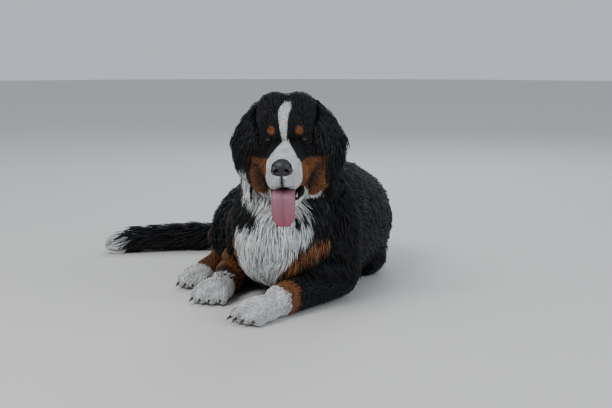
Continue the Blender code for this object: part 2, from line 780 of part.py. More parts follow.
def dress(nodes):
    """Grows every node's locks over the body as a whole, each clear of all that is there already."""
    named = {node.name: node for node in nodes}
    limbs = (NECK, *UPPER_ARM.values(), *THIGH.values(), TAIL)
    plain = [loft("form", limb, 12, 20, CORE_SHARE) for limb in limbs]
    body = loft("body", TORSO, 14, 24, CORE_SHARE, domes=(0.8, 0.6))
    boolean(body, "UNION", plain)
    ears = {f"ear_{name}": surface(named[f"ear_{name}"]) for name in ("left", "right")}
    over = surface(body)
    bpy.data.objects.remove(body)
    draw = random.Random(7)
    for node, limb, styles in coat_of(named):
        others = surface(*(other for other in nodes if other is not node and near(node, other, 0.1)))
        count = grow_locks(node, limb, styles, ears.get(node.name, over), others, draw)
        print(node.name, count, "locks")


clear_scene()
# Each solid comes after those that it has to make room for, and is cut while they are still whole
NODES = build_face() + build_legs() + build_trunk()
for place in range(len(NODES) - 1, 0, -1):
    node = NODES[place]
    make_room(node, *(other for other in NODES[:place] if near(node, other)))
for node in NODES:
    trim_at_floor(node)
dress(NODES)
middle = middle_of_base(NODES)
for node in NODES:
    node.data.transform(Matrix.Translation(-middle))
    print(node.name, sum(len(face.vertices) - 2 for face in node.data.polygons))
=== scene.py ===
# %% [markdown]
# # A Bernese mountain dog, lying with its head up
# This notebook dresses a packed, life-size frame of the dog. The frame fixes every size and place. Here
# the dog gets one skin, a coat of solid tufts, eyes, nose, tongue, teeth and claws. Then come light and a
# camera.

# %% Load the frame
import json
import math
from collections import namedtuple

import bmesh
import bpy
import numpy as np
from mathutils import Matrix, Vector
from mathutils.bvhtree import BVHTree
from mathutils.kdtree import KDTree

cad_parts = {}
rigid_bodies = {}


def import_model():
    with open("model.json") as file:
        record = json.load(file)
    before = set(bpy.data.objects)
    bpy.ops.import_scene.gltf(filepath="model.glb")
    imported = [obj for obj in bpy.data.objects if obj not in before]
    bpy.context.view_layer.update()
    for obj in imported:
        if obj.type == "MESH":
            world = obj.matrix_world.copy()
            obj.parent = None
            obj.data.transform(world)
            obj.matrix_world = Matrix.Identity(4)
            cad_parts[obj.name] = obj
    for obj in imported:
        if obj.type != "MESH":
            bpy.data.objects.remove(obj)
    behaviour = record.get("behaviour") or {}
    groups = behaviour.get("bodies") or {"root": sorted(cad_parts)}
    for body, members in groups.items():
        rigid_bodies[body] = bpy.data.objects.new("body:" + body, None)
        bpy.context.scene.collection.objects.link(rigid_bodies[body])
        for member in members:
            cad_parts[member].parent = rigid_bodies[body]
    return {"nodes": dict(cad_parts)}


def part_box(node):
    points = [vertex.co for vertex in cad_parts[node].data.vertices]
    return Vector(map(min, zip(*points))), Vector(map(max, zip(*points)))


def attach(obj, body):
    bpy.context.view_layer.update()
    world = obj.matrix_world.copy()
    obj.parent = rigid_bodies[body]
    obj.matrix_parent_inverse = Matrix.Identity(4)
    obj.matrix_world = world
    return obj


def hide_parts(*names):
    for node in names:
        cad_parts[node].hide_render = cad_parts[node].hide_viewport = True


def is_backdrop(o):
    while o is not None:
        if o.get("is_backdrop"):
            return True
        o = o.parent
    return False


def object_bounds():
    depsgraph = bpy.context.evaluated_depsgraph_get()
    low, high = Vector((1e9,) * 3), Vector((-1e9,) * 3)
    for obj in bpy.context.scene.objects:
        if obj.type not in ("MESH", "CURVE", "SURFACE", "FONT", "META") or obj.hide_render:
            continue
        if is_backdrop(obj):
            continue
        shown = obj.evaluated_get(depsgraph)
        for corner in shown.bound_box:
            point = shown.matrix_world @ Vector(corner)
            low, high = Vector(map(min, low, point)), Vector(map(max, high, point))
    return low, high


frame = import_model()
CAD_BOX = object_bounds()
print("nodes in the frame:", len(frame["nodes"]))

# %% [markdown]
# ## Where things are
# The dog was drawn with the middle of its face over the point (0, 0), and the frame then moved it so that
# its own middle is the origin. One eye's place in the frame gives that move, so all the sizes below can
# stay in the dog's own, simpler coordinates: +X to the dog's left, -Y the way it faces, +Z up.

# %% The head's place and the move into the frame
EYE_LINE = Vector((0.001, -0.045, 0.387))  # the middle between the eyes
HEAD_YAW, HEAD_PITCH, HEAD_ROLL = (math.radians(a) for a in (-5, 4, -1.4))
EYE_SPREAD = 0.040
EYE_DEPTH = 0.0055
EYE_RADIUS = 0.0125
MUZZLE_REACH = 0.105
TONGUE_DROP = 0.176
NOSE_HEIGHT = -0.044
LOWER_LIP = -0.122  # below this the chin is furred

TURN = (
    Matrix.Rotation(HEAD_YAW, 4, "Z")
    @ Matrix.Rotation(HEAD_ROLL, 4, "Y")
    @ Matrix.Rotation(HEAD_PITCH, 4, "X")
)
HEAD = Matrix.Translation(EYE_LINE) @ TURN
low, high = (Vector(corner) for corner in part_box("eye_left"))
SHIFT = (low + high) / 2 - HEAD @ Vector((EYE_SPREAD, EYE_DEPTH, 0))
SHIFT.z = 0
print("the dog's face is over", tuple(round(v, 3) for v in SHIFT))

# %% [markdown]
# ## Colours
# A Bernese is black, white and rust. Every colour is a small linear value, since black fur in daylight
# still shows a little blue from the sky.

# %% Coat colours
BLACK = np.array((0.0042, 0.0044, 0.0058))
WHITE = np.array((0.66, 0.67, 0.67))
RUST = np.array((0.215, 0.083, 0.028))
DARK_SKIN = np.array((0.0060, 0.0055, 0.0060))


# %% Paths of oval sections
Section = namedtuple("Section", "x y z wide tall coat")
PLAIN_HAIR = (0.03, 0.02, 0.004)


def spline(rows, s):
    """The values at s, from 0 to 1, on a smooth curve through rows of numbers."""
    last = len(rows) - 1
    place = min(max(s, 0.0), 1.0) * last
    i = min(int(place), last - 1)
    t = place - i
    p, q, r, w = (np.array(rows[min(max(i + k, 0), last)], float) for k in (-1, 0, 1, 2))
    return 0.5 * (2 * q + (r - p) * t + (2 * p - 5 * q + 4 * r - w) * t**2 + (3 * q - p - 3 * r + w) * t**3)


class Limb:
    """A body part along a smooth path of oval sections, drawn at the tips of its coat."""

    def __init__(self, sections, up=(0, 0, 1), power=2.3, lie=(1, 0), hair=PLAIN_HAIR, matrix=None):
        self.sections, self.up, self.power = sections, Vector(up), power
        self.lie, self.hair = lie, hair  # the coat's lie along and down, its length, depth and tuft width
        if matrix is not None:
            self.sections = [(*(matrix @ Vector(s[:3])), *s[3:]) for s in sections]
            self.up = matrix.to_3x3() @ self.up

    def at(self, s):
        return Section(*spline(self.sections, s))

    def frame(self, s):
        before, after = self.at(s - 0.01), self.at(s + 0.01)
        along = (Vector(after[:3]) - Vector(before[:3])).normalized()
        side = along.cross(self.up).normalized()
        return Vector(self.at(s)[:3]), side, side.cross(along).normalized(), along


# %% Tubes and balls
def oval_tube(limb, rings, sides, share=1.0, domes=(0.6, 0.6)):
    """A closed bmesh along a limb, its skin at the outline less a share of the coat's depth."""
    bm = bmesh.new()
    stations = [(0.0, -domes[0], math.radians(a)) for a in (72, 45, 20)]
    stations += [(i / (rings - 1), 0.0, 0.0) for i in range(rings)]
    stations += [(1.0, domes[1], math.radians(a)) for a in (20, 45, 72)]
    loops = []
    for s, bulge, angle in stations:
        here = limb.at(s)
        centre, side, up, along = limb.frame(s)
        wide, tall = here.wide - here.coat * share, here.tall - here.coat * share
        circle = bmesh.ops.create_circle(bm, segments=sides, radius=1)["verts"]
        for vertex in circle:
            c, n = vertex.co.x, vertex.co.y
            x = math.copysign(abs(c) ** (2 / limb.power), c) * wide * math.cos(angle)
            y = math.copysign(abs(n) ** (2 / limb.power), n) * tall * math.cos(angle)
            vertex.co = centre + side * x + up * y + along * bulge * min(wide, tall) * math.sin(angle)
        loops.append(circle)
    for first, second in zip(loops, loops[1:]):
        ours = set(first) | set(second)
        edges = {e for v in ours for e in v.link_edges if set(e.verts) <= ours and len(e.link_faces) < 2}
        bmesh.ops.bridge_loops(bm, edges=list(edges))
    for ring in (loops[0], loops[-1]):
        bmesh.ops.contextual_create(bm, geom=ring)
    bmesh.ops.recalc_face_normals(bm, faces=bm.faces)
    return bm


def move(bm, turn=None, by=None):
    """Turns a bmesh, then shifts it."""
    if turn is not None:
        bmesh.ops.transform(bm, matrix=turn, verts=bm.verts)
    if by is not None:
        bmesh.ops.translate(bm, vec=by, verts=bm.verts)


def oval_ball(centre, radii, sides=24, rows=16, turn=None):
    bm = bmesh.new()
    bmesh.ops.create_uvsphere(bm, u_segments=sides, v_segments=rows, radius=1)
    bmesh.ops.scale(bm, vec=radii, verts=bm.verts)
    move(bm, turn, centre)
    return bm


# %% Joining, melting and cutting
def joined(forms):
    """One bmesh that holds several, which are used up."""
    whole = bmesh.new()
    for form in forms:
        mesh = bpy.data.meshes.new("form")
        form.to_mesh(mesh)
        form.free()
        whole.from_mesh(mesh)
        bpy.data.meshes.remove(mesh)
    return whole


def add_object(name, data):
    obj = bpy.data.objects.new(name, data)
    bpy.context.scene.collection.objects.link(obj)
    return obj


def to_object(name, bm, matrix=None):
    """An object at the origin, with its place in its mesh."""
    mesh = bpy.data.meshes.new(name)
    bm.to_mesh(mesh)
    bm.free()
    if matrix is not None:
        mesh.transform(matrix)
    mesh.shade_smooth()
    return add_object(name, mesh)


def settle(obj):
    """Applies an object's modifiers."""
    mesh = bpy.data.meshes.new_from_object(obj.evaluated_get(bpy.context.evaluated_depsgraph_get()))
    obj.modifiers.clear()
    obj.data = mesh


def one_skin(obj, voxel, rounds, factor=0.5):
    """Melts overlapping forms into one even surface, then softens it."""
    remesh = obj.modifiers.new("melt", "REMESH")
    remesh.mode = "VOXEL"
    remesh.voxel_size = voxel
    if rounds:
        soften = obj.modifiers.new("soften", "SMOOTH")
        soften.factor, soften.iterations = factor, rounds
    settle(obj)


def cut(obj, operation, other):
    """Cuts or joins obj with another closed object, which is used up."""
    change = obj.modifiers.new("change", "BOOLEAN")
    change.operation, change.solver, change.object = operation, "MANIFOLD", other
    settle(obj)
    bpy.data.objects.remove(other)


# %% Numbers and colours of a mesh
def numbers(items, key, width, kind=float):
    """One value of every item, as rows of an array."""
    flat = np.empty(len(items) * width, dtype=kind)
    items.foreach_get(key, flat)
    return flat.reshape(-1, width)


def paint(mesh, name, colours):
    """Keeps a colour for every point of a mesh."""
    layer = mesh.color_attributes.new(name, "FLOAT_COLOR", "POINT")
    layer.data.foreach_set("color", np.column_stack((colours, np.ones(len(colours)))).ravel())


# %% [markdown]
# ## The head
# A dog's head is a few round masses: a broad skull, cheeks, a brow over each eye, and a deep, square
# muzzle whose upper lips hang. Ball forms are quick to place and a voxel remesh melts them together, where
# pushing points of one mesh about would take long and show every step.

# %% Forms of the head, round the middle of the eye line
def skull_forms():
    forms = [
        ((0, 0.058, 0.014), (0.071, 0.070, 0.067)),  # skull
        ((0, 0.096, 0.006), (0.052, 0.046, 0.056)),  # back of the skull
        ((0, 0.021, 0.025), (0.050, 0.040, 0.041)),  # forehead
        ((0, 0.062, -0.050), (0.062, 0.056, 0.064)),  # throat
        ((0, -0.090, -0.062), (0.016, 0.016, 0.024)),  # front of the upper lip
    ]
    for side in (-1, 1):
        forms += [
            ((side * 0.025 - 0.002, 0.050, 0.030), (0.041, 0.055, 0.055)),  # crown
            ((side * 0.048, 0.040, -0.056), (0.037, 0.047, 0.066)),  # cheek
            ((side * 0.036, 0.010, 0.0150), (0.021, 0.016, 0.0095)),  # brow
            ((side * 0.032, 0.031, -0.010), (0.035, 0.033, 0.033)),  # round the eye
            ((side * 0.043, 0.022, -0.030), (0.024, 0.024, 0.018)),  # cheekbone
            ((side * 0.0185, -0.066, -0.070), (0.0190, 0.034, 0.0265)),  # hanging lip
            ((side * 0.0285, -0.016, -0.071), (0.0165, 0.036, 0.028)),  # lip's corner
            ((side * EYE_SPREAD, EYE_DEPTH, 0), (0.0148, 0.0148, 0.0148)),  # lids
        ]
    return [oval_ball(centre, radii) for centre, radii in forms]


def middle_path(rows, **style):
    """A hairless form down the middle of the face, each row its place along and up and its half sizes."""
    return Limb([(0, *row, 0) for row in rows], **style)


MUZZLE = middle_path(
    [
        (0.030, -0.044, 0.045, 0.041),
        (-0.010, -0.045, 0.042, 0.040),
        (-0.045, -0.050, 0.037, 0.036),
        (-MUZZLE_REACH + 0.026, -0.056, 0.035, 0.034),
        (-MUZZLE_REACH + 0.007, -0.057, 0.030, 0.029),
    ],
    power=2.7,
)
JAW = middle_path(
    [
        (0.045, -0.098, 0.042, 0.021),
        (0.005, -0.112, 0.038, 0.020),
        (-0.035, -0.121, 0.032, 0.016),
        (-0.066, -0.125, 0.026, 0.014),
        (-0.080, -0.125, 0.020, 0.011),
    ],
    power=2.5,
)
MOUTH = middle_path(
    [
        (0.010, -0.094, 0.040, 0.004),
        (-0.020, -0.102, 0.041, 0.007),
        (-0.055, -0.106, 0.044, 0.009),
        (-0.115, -0.108, 0.046, 0.012),
    ],
    power=3,
)


def ear_limb(side):
    return Limb(
        [
            (side * 0.044, 0.066, 0.068, 0.020, 0.012, 0.006),
            (side * 0.061, 0.057, 0.052, 0.030, 0.013, 0.008),
            (side * 0.081, 0.044, 0.024, 0.043, 0.014, 0.010),
            (side * 0.091, 0.035, -0.012, 0.046, 0.015, 0.010),
            (side * 0.091, 0.032, -0.048, 0.040, 0.014, 0.009),
            (side * 0.086, 0.034, -0.080, 0.025, 0.011, 0.007),
            (side * 0.082, 0.036, -0.094, 0.012, 0.009, 0.005),
        ],
        up=(side * 0.75, -0.62, 0.2),
        power=2.2,
        matrix=HEAD,
        lie=(1, 0.2),
        hair=(0.036, 0.014, 0.0026),
    )


EARS = {"left": ear_limb(1), "right": ear_limb(-1)}
WHOLE_FACE = joined(skull_forms() + [oval_tube(MUZZLE, 12, 28), oval_tube(JAW, 10, 24)])
head = to_object("head_skin", WHOLE_FACE, HEAD)
ears = joined([oval_tube(ear, 16, 24, 1.0) for ear in EARS.values()])
ears = to_object("ear_skin", ears)
whole = bmesh.new()
for part in (head, ears):
    whole.from_mesh(part.data)
    bpy.data.objects.remove(part)
head = to_object("head_skin", whole)
HEAD_GRAIN = 0.0022
one_skin(head, HEAD_GRAIN, 7)
print("head:", len(head.data.polygons), "faces")

# %% [markdown]
# ## Mouth and eyelids
# The open mouth and the almond of each eye are holes with firm edges, so they are cut after the forms
# have melted, where a remesh would round them away.

# %% Cut the mouth and the eye openings
LID_HALF, LID_UPPER, LID_LOWER = 0.0086, 0.0034, 0.0034
LID_SLANT = 0.0012  # how far the outer corner lies below the inner one, over half the eye
LID_FRONT, LID_CUT = -0.030, 0.036  # where the cut starts in front of the eye, and its depth
SOCKET_GAP = 0.0003


def almond(side):
    """A prism with the outline of an open eye, running back from in front of the face."""
    bm = bmesh.new()
    circle = bmesh.ops.create_circle(bm, segments=24, radius=1)["verts"]
    for vertex in circle:
        c, n = vertex.co.x, vertex.co.y
        height = (LID_UPPER if n > 0 else LID_LOWER) * (1 - abs(c) ** 2.2) ** 0.75
        slant = side * c * LID_SLANT
        vertex.co = (side * EYE_SPREAD + c * LID_HALF, LID_FRONT, math.copysign(height, n) - slant)
    face = bmesh.ops.contextual_create(bm, geom=circle)["faces"]
    push = bmesh.ops.extrude_face_region(bm, geom=face)
    ahead = [g for g in push["geom"] if isinstance(g, bmesh.types.BMVert)]
    bmesh.ops.translate(bm, vec=(0, LID_CUT, 0), verts=ahead)
    bmesh.ops.recalc_face_normals(bm, faces=bm.faces)
    return bm


for side in (-1, 1):
    cut(head, "DIFFERENCE", to_object("eye_hole", almond(side), HEAD))
    ball = oval_ball((side * EYE_SPREAD, EYE_DEPTH, 0), (EYE_RADIUS + SOCKET_GAP,) * 3, 32, 20)
    cut(head, "DIFFERENCE", to_object("socket", ball, HEAD))
cut(head, "DIFFERENCE", to_object("mouth", oval_tube(MOUTH, 10, 24), HEAD))
print("head with openings:", len(head.data.polygons), "faces")

# %% [markdown]
# ## The body
# Each part is an oval tube along its bones, drawn at the tips of the coat. The skin lies inside that by
# the coat's depth, so the tufts that grow on it later end about where the frame does.

# %% Paths of the body, with the lie and length of the coat on each
def pair(left, right, **style):
    """The same part on both sides, each along its own rows."""
    return {"left": Limb(left, **style), "right": Limb(right, **style)}


TORSO = Limb(
    [
        (-0.034, -0.022, 0.160, 0.060, 0.070, 0.030),
        (-0.020, 0.025, 0.150, 0.108, 0.112, 0.030),
        (0.002, 0.100, 0.160, 0.142, 0.156, 0.030),
        (0.030, 0.200, 0.168, 0.155, 0.172, 0.025),
        (0.070, 0.320, 0.156, 0.160, 0.164, 0.025),
        (0.104, 0.440, 0.140, 0.162, 0.150, 0.025),
        (0.112, 0.550, 0.130, 0.155, 0.142, 0.025),
        (0.076, 0.650, 0.118, 0.140, 0.128, 0.024),
        (0.008, 0.712, 0.105, 0.100, 0.108, 0.024),
    ],
    power=2.25,
    lie=(1, 0.55),
    hair=(0.060, 0.026, 0.0033),
)
NECK = Limb(
    [
        (0.012, 0.130, 0.235, 0.124, 0.120, 0.031),
        (0.014, 0.088, 0.285, 0.122, 0.116, 0.031),
        (0.010, 0.062, 0.324, 0.104, 0.098, 0.028),
        (0.004, 0.046, 0.352, 0.078, 0.074, 0.016),
    ],
    power=2.1,
    lie=(-1, 0.7),
    hair=(0.060, 0.030, 0.0033),
)
TAIL = Limb(
    [
        (-0.030, 0.735, 0.096, 0.052, 0.055, 0.024),
        (-0.100, 0.762, 0.062, 0.048, 0.050, 0.024),
        (-0.200, 0.770, 0.042, 0.044, 0.042, 0.024),
        (-0.330, 0.757, 0.040, 0.043, 0.040, 0.024),
        (-0.430, 0.733, 0.036, 0.039, 0.036, 0.022),
        (-0.500, 0.710, 0.026, 0.028, 0.026, 0.014),
    ],
    power=2.1,
    lie=(1, 0.15),
    hair=(0.072, 0.026, 0.0034),
)
ARM_HAIR = (0.044, 0.019, 0.0030)
UPPER_ARM = pair(
    [
        (0.096, 0.118, 0.255, 0.040, 0.060, 0.018),
        (0.112, 0.112, 0.185, 0.060, 0.086, 0.018),
        (0.118, 0.124, 0.105, 0.055, 0.074, 0.018),
        (0.122, 0.144, 0.048, 0.044, 0.054, 0.014),
    ],
    [
        (-0.072, 0.172, 0.230, 0.038, 0.056, 0.018),
        (-0.088, 0.188, 0.165, 0.056, 0.078, 0.018),
        (-0.098, 0.222, 0.100, 0.050, 0.070, 0.018),
        (-0.104, 0.262, 0.048, 0.042, 0.052, 0.014),
    ],
    up=(0, 1, 0),
    hair=ARM_HAIR,
)
LEG_HAIR = (0.019, 0.0048, 0.0021)
FOREARM = pair(
    [
        (0.126, 0.150, 0.046, 0.046, 0.048, 0.008),
        (0.104, 0.090, 0.050, 0.045, 0.048, 0.008),
        (0.045, 0.010, 0.043, 0.039, 0.043, 0.007),
        (-0.020, -0.078, 0.035, 0.033, 0.036, 0.005),
    ],
    [
        (-0.106, 0.300, 0.046, 0.044, 0.048, 0.008),
        (-0.118, 0.250, 0.048, 0.043, 0.047, 0.008),
        (-0.134, 0.195, 0.043, 0.038, 0.043, 0.007),
        (-0.148, 0.135, 0.035, 0.033, 0.036, 0.005),
    ],
    hair=LEG_HAIR,
)
THIGH_HAIR = (0.054, 0.024, 0.0033)
THIGH = pair(
    [
        (0.100, 0.620, 0.095, 0.080, 0.080, 0.024),
        (0.155, 0.540, 0.075, 0.088, 0.080, 0.024),
        (0.188, 0.445, 0.060, 0.072, 0.066, 0.024),
        (0.196, 0.385, 0.050, 0.052, 0.052, 0.020),
    ],
    [
        (0.015, 0.640, 0.148, 0.096, 0.100, 0.024),
        (-0.048, 0.560, 0.150, 0.092, 0.110, 0.024),
        (-0.108, 0.455, 0.134, 0.076, 0.092, 0.024),
        (-0.148, 0.368, 0.112, 0.052, 0.064, 0.018),
    ],
    lie=(1, 0.5),
    hair=THIGH_HAIR,
)
SHANK = Limb(
    [
        (-0.156, 0.372, 0.090, 0.036, 0.044, 0.008),
        (-0.166, 0.420, 0.070, 0.038, 0.044, 0.008),
        (-0.170, 0.465, 0.046, 0.032, 0.036, 0.006),
    ],
    hair=LEG_HAIR,
)
PASTERN = pair(
    [
        (0.040, 0.535, 0.032, 0.034, 0.034, 0.005),
        (-0.005, 0.500, 0.030, 0.031, 0.032, 0.005),
        (-0.048, 0.458, 0.028, 0.029, 0.030, 0.005),
    ],
    [
        (-0.170, 0.492, 0.032, 0.032, 0.034, 0.005),
        (-0.184, 0.400, 0.030, 0.029, 0.031, 0.005),
        (-0.206, 0.300, 0.028, 0.029, 0.030, 0.004),
    ],
    hair=LEG_HAIR,
)
BODY = {
    "torso": TORSO,
    "neck": NECK,
    "tail": TAIL,
    "shank": SHANK,
    **{f"arm_{k}": v for k, v in UPPER_ARM.items()},
    **{f"forearm_{k}": v for k, v in FOREARM.items()},
    **{f"thigh_{k}": v for k, v in THIGH.items()},
    **{f"pastern_{k}": v for k, v in PASTERN.items()},
}
print("paths of the body:", len(BODY))

# %% [markdown]
# ## Paws
# A dog stands on four toes and a pad. Each toe is its own round form with a furrow beside it, and the
# middle two reach furthest.

# %% Paws
Paw = namedtuple("Paw", "limb turn_out length width")
PAWS = {
    "forepaw_left": Paw(FOREARM["left"], 0.12, 0.118, 0.088),
    "forepaw_right": Paw(FOREARM["right"], 0.12, 0.118, 0.088),
    "hindpaw_left": Paw(PASTERN["left"], 0.10, 0.108, 0.078),
    "hindpaw_right": Paw(PASTERN["right"], 0.10, 0.108, 0.078),
}
PAW_FUR = 0.002
TOE_SPLAY = 0.13


def paw_matrix(paw):
    end, _, _, along = paw.limb.frame(1.0)
    heading = math.atan2(-along.x, -along.y) + paw.turn_out
    return Matrix.Translation((end.x, end.y, 0)) @ Matrix.Rotation(-heading, 4, "Z")


def toes(paw):
    """Place, radii and splay of each toe."""
    for off in (-1.5, -0.5, 0.5, 1.5):
        middle = 1 - abs(off) / 1.5
        place = Vector((off * paw.width * 0.235, -paw.length * (0.70 + 0.10 * middle), 0.019))
        radii = (paw.width * 0.145 - PAW_FUR, paw.length * 0.21 - PAW_FUR, 0.0195 - PAW_FUR)
        yield place, radii, off * TOE_SPLAY


def paw_forms(paw):
    pad = (paw.width * 0.47 - PAW_FUR, paw.length * 0.46 - PAW_FUR, 0.029 - PAW_FUR)
    forms = [oval_ball((0, -0.42 * paw.length, 0.026), pad)]
    for place, radii, splay in toes(paw):
        forms.append(oval_ball(place, radii, 20, 14, Matrix.Rotation(splay, 4, "Z")))
        knuckle = (place.x * 0.92, place.y + paw.length * 0.17, 0.030)
        forms.append(oval_ball(knuckle, (radii[0] * 0.9, radii[1] * 0.9, 0.014), 16, 12))
    whole = joined(forms)
    move(whole, paw_matrix(paw))
    return whole


print("paws:", len(PAWS), "with", len(list(toes(PAWS["forepaw_left"]))), "toes each")


# %% [markdown]
# ## One skin
# All the tubes and paws melt into one surface, the head is welded on, and the whole is cut level where
# it lies on the floor.

# %% Melt the body, weld on the head
body = [oval_tube(limb, 24, 40) for limb in BODY.values()]
body = joined(body + [paw_forms(paw) for paw in PAWS.values()])
skin = to_object("skin", body)
BODY_GRAIN = 0.0057  # keeps the whole skin under 200,000 triangles
one_skin(skin, BODY_GRAIN, 3)
cut(skin, "UNION", head)
bm = bmesh.new()
bm.from_mesh(skin.data)
seam = HEAD @ Vector((0, 0.07, -0.08))
SEAM_NEAR, SEAM_FAR, SEAM_FRONT = 0.03, 0.10, 0.03  # where head and neck meet, round its middle
near_seam = [v for v in bm.verts if SEAM_NEAR < (v.co - seam).length < SEAM_FAR]
near_seam = [v for v in near_seam if (HEAD.inverted() @ v.co).y > SEAM_FRONT]
every_way = {"use_axis_x": True, "use_axis_y": True, "use_axis_z": True}
for _ in range(6):
    bmesh.ops.smooth_vert(bm, verts=near_seam, factor=0.5, **every_way)
FLOOR_GAP = 0.001
everything = bm.verts[:] + bm.edges[:] + bm.faces[:]
down = (0, 0, -1)
slice_ = bmesh.ops.bisect_plane(
    bm, geom=everything, plane_co=(0, 0, FLOOR_GAP), plane_no=down, clear_outer=True
)
rim = [e for e in slice_["geom_cut"] if isinstance(e, bmesh.types.BMEdge)]
bmesh.ops.edgeloop_fill(bm, edges=rim)
bmesh.ops.triangulate(bm, faces=[f for f in bm.faces if len(f.verts) > 4])
bm.to_mesh(skin.data)
bm.free()
skin.data.shade_smooth()
print("skin:", sum(len(p.vertices) - 2 for p in skin.data.polygons), "triangles")

# %% [markdown]
# ## Markings
# The same rule colours skin and tufts. On the head the edges follow heights measured on the face. On the
# chest they are the outline of the white bib as it is seen from in front.

# %% Edges of the black, white and rust
STANDPOINT = (0.044, -2.65, 0.61)  # where someone who looks at the dog stands
CHEST_PLANE = -0.02
BIB_HEIGHTS = (0.058, 0.070, 0.083, 0.105, 0.126, 0.153, 0.181, 0.190, 0.217, 0.246, 0.282)
BIB_RIGHT = (-0.034, -0.066, -0.095, -0.101, -0.105, -0.109, -0.109, -0.062, -0.068, -0.094, -0.101)
BIB_LEFT = (-0.031, -0.018, -0.005, 0.006, 0.024, 0.050, 0.060, 0.016, 0.032, 0.066, 0.088)
BLAZE_HEIGHTS = (-0.040, -0.034, -0.018, -0.009, 0.008, 0.042, 0.060, 0.070, 0.081)
BLAZE_RIGHT = (-0.037, -0.033, -0.017, -0.008, -0.009, -0.013, -0.015, -0.012, -0.002)
BLAZE_LEFT = (0.035, 0.031, 0.014, 0.004, 0.003, 0.006, 0.009, 0.014, 0.012)
SADDLE_REACH = (-0.005, 0.010, 0.025, 0.045, 0.065, 0.085, 0.110)  # forwards along the top of the muzzle
SADDLE_SPREAD = (0.005, 0.007, 0.011, 0.019, 0.028, 0.035, 0.042)  # the white's half width there
LIP_HEIGHTS = (-0.090, -0.060, -0.045, -0.030)
LIP_EDGE = (-0.046, -0.048, -0.056, -0.066)  # the white's back edge along the side of the muzzle
FOLD_HEIGHTS = (-0.112, -0.090, -0.057, -0.045)  # a crease from the corner of the mouth up the cheek
FOLD_SPREAD = (0.046, 0.052, 0.070, 0.076)


# %% Soft edges and slow waves
def ramp(values, edge, width):
    """0 below an edge and 1 above it, with a soft step between."""
    t = np.clip((values - edge) / width + 0.5, 0, 1)
    return t * t * (3 - 2 * t)


def mix(first, second, amount):
    return first + (second - first) * np.asarray(amount)[:, None]


def wave(points, scale, seed, count=6):
    """A smooth, uneven wave through space, about -1 to 1."""
    dice = np.random.default_rng(seed)
    total = np.zeros(len(points))
    for _ in range(count):
        way = dice.normal(size=3)
        way *= 2 * math.pi / scale * dice.uniform(0.6, 1.5) / np.linalg.norm(way)
        total += np.sin(points @ way + dice.uniform(0, 2 * math.pi))
    return total * 1.6 / count


# %% Marks on the head
def head_marks(local):
    """Colours on the head, at points round the middle of the eye line."""
    x, y, z = local.T
    away = np.abs(x)
    colour = np.tile(BLACK, (len(x), 1))
    # a darker copy of the rust, painted as shade on the cheek beside the crease
    shaded_rust = RUST * np.array((0.42, 0.40, 0.45))
    cheek = ramp(-z, 0.042, 0.010) * ramp(-y, -0.066, 0.016) * ramp(-away, -0.083, 0.010)
    cheek *= ramp(z, -0.150, 0.016)
    colour = mix(colour, RUST, cheek)
    fold = away - np.interp(z, FOLD_HEIGHTS, FOLD_SPREAD)
    shade = np.exp(-(((fold - 0.010) / 0.014) ** 2)) * cheek * ramp(z, -0.118, 0.03)
    colour = mix(colour, shaded_rust, shade)
    # painted shade: a near-black line along the crease from the mouth's corner up the cheek
    fold = np.exp(-((fold / 0.0042) ** 2)) * ramp(z, -0.124, 0.01) * ramp(-z, 0.054, 0.008) * (y > -0.03)
    colour = mix(colour, BLACK * 2, fold)
    dot = 1 - ramp(np.hypot((away - 0.031) / 0.0085, (z - 0.022) / 0.0100), 1.0, 0.5)
    colour = mix(colour, RUST * 0.95, dot * ramp(-y, -0.03, 0.01))
    right = np.interp(z, BLAZE_HEIGHTS, BLAZE_RIGHT)
    left = np.interp(z, BLAZE_HEIGHTS, BLAZE_LEFT)
    inside = np.minimum(x - right, left - x)
    saddle = np.interp(-y, SADDLE_REACH, SADDLE_SPREAD) - away
    lips = np.interp(z, LIP_HEIGHTS, LIP_EDGE) - y
    on_muzzle = np.maximum(saddle, np.where(z < -0.030, lips, -1))
    on_muzzle = np.minimum(on_muzzle, 0.0385 - away)
    inside = np.where((y < 0.004) & (z < 0.002), on_muzzle, np.where(y > 0.05, -1, inside))
    inside = np.where((y > 0.03) & (z > 0.05), np.minimum(x - right, left - x), inside)
    blaze = ramp(inside, 0.0, 0.003) * ramp(-z, -0.081, 0.004)
    blaze = blaze * ramp(z, -0.102, 0.003) * ramp(-y, -0.075, 0.02)
    colour = mix(colour, WHITE, blaze)
    groove = np.exp(-((x / 0.0042) ** 2)) * ramp(-z, 0.052, 0.004) * ramp(-y, 0.085, 0.01)
    chin = ramp(-z, 0.086, 0.006) * np.exp(-((x / 0.013) ** 2)) * ramp(z, -0.100, 0.004)
    colour = mix(colour, DARK_SKIN, np.clip(np.maximum(groove, chin * ramp(-y, 0.07, 0.02)), 0, 1))
    uneven = wave(local, 0.03, 61) * 0.006 + 0.012 * (x > 0)
    throat = ramp(-z, 0.130 + uneven, 0.010) * ramp(-away, -0.084, 0.02) * ramp(-y, -0.075, 0.02)
    jaw = ramp(-z, 0.106, 0.008) * ramp(-away, -0.040, 0.010) * ramp(-y, -0.06, 0.02)
    colour = mix(colour, WHITE, np.clip(np.maximum(throat, jaw), 0, 1))
    return colour


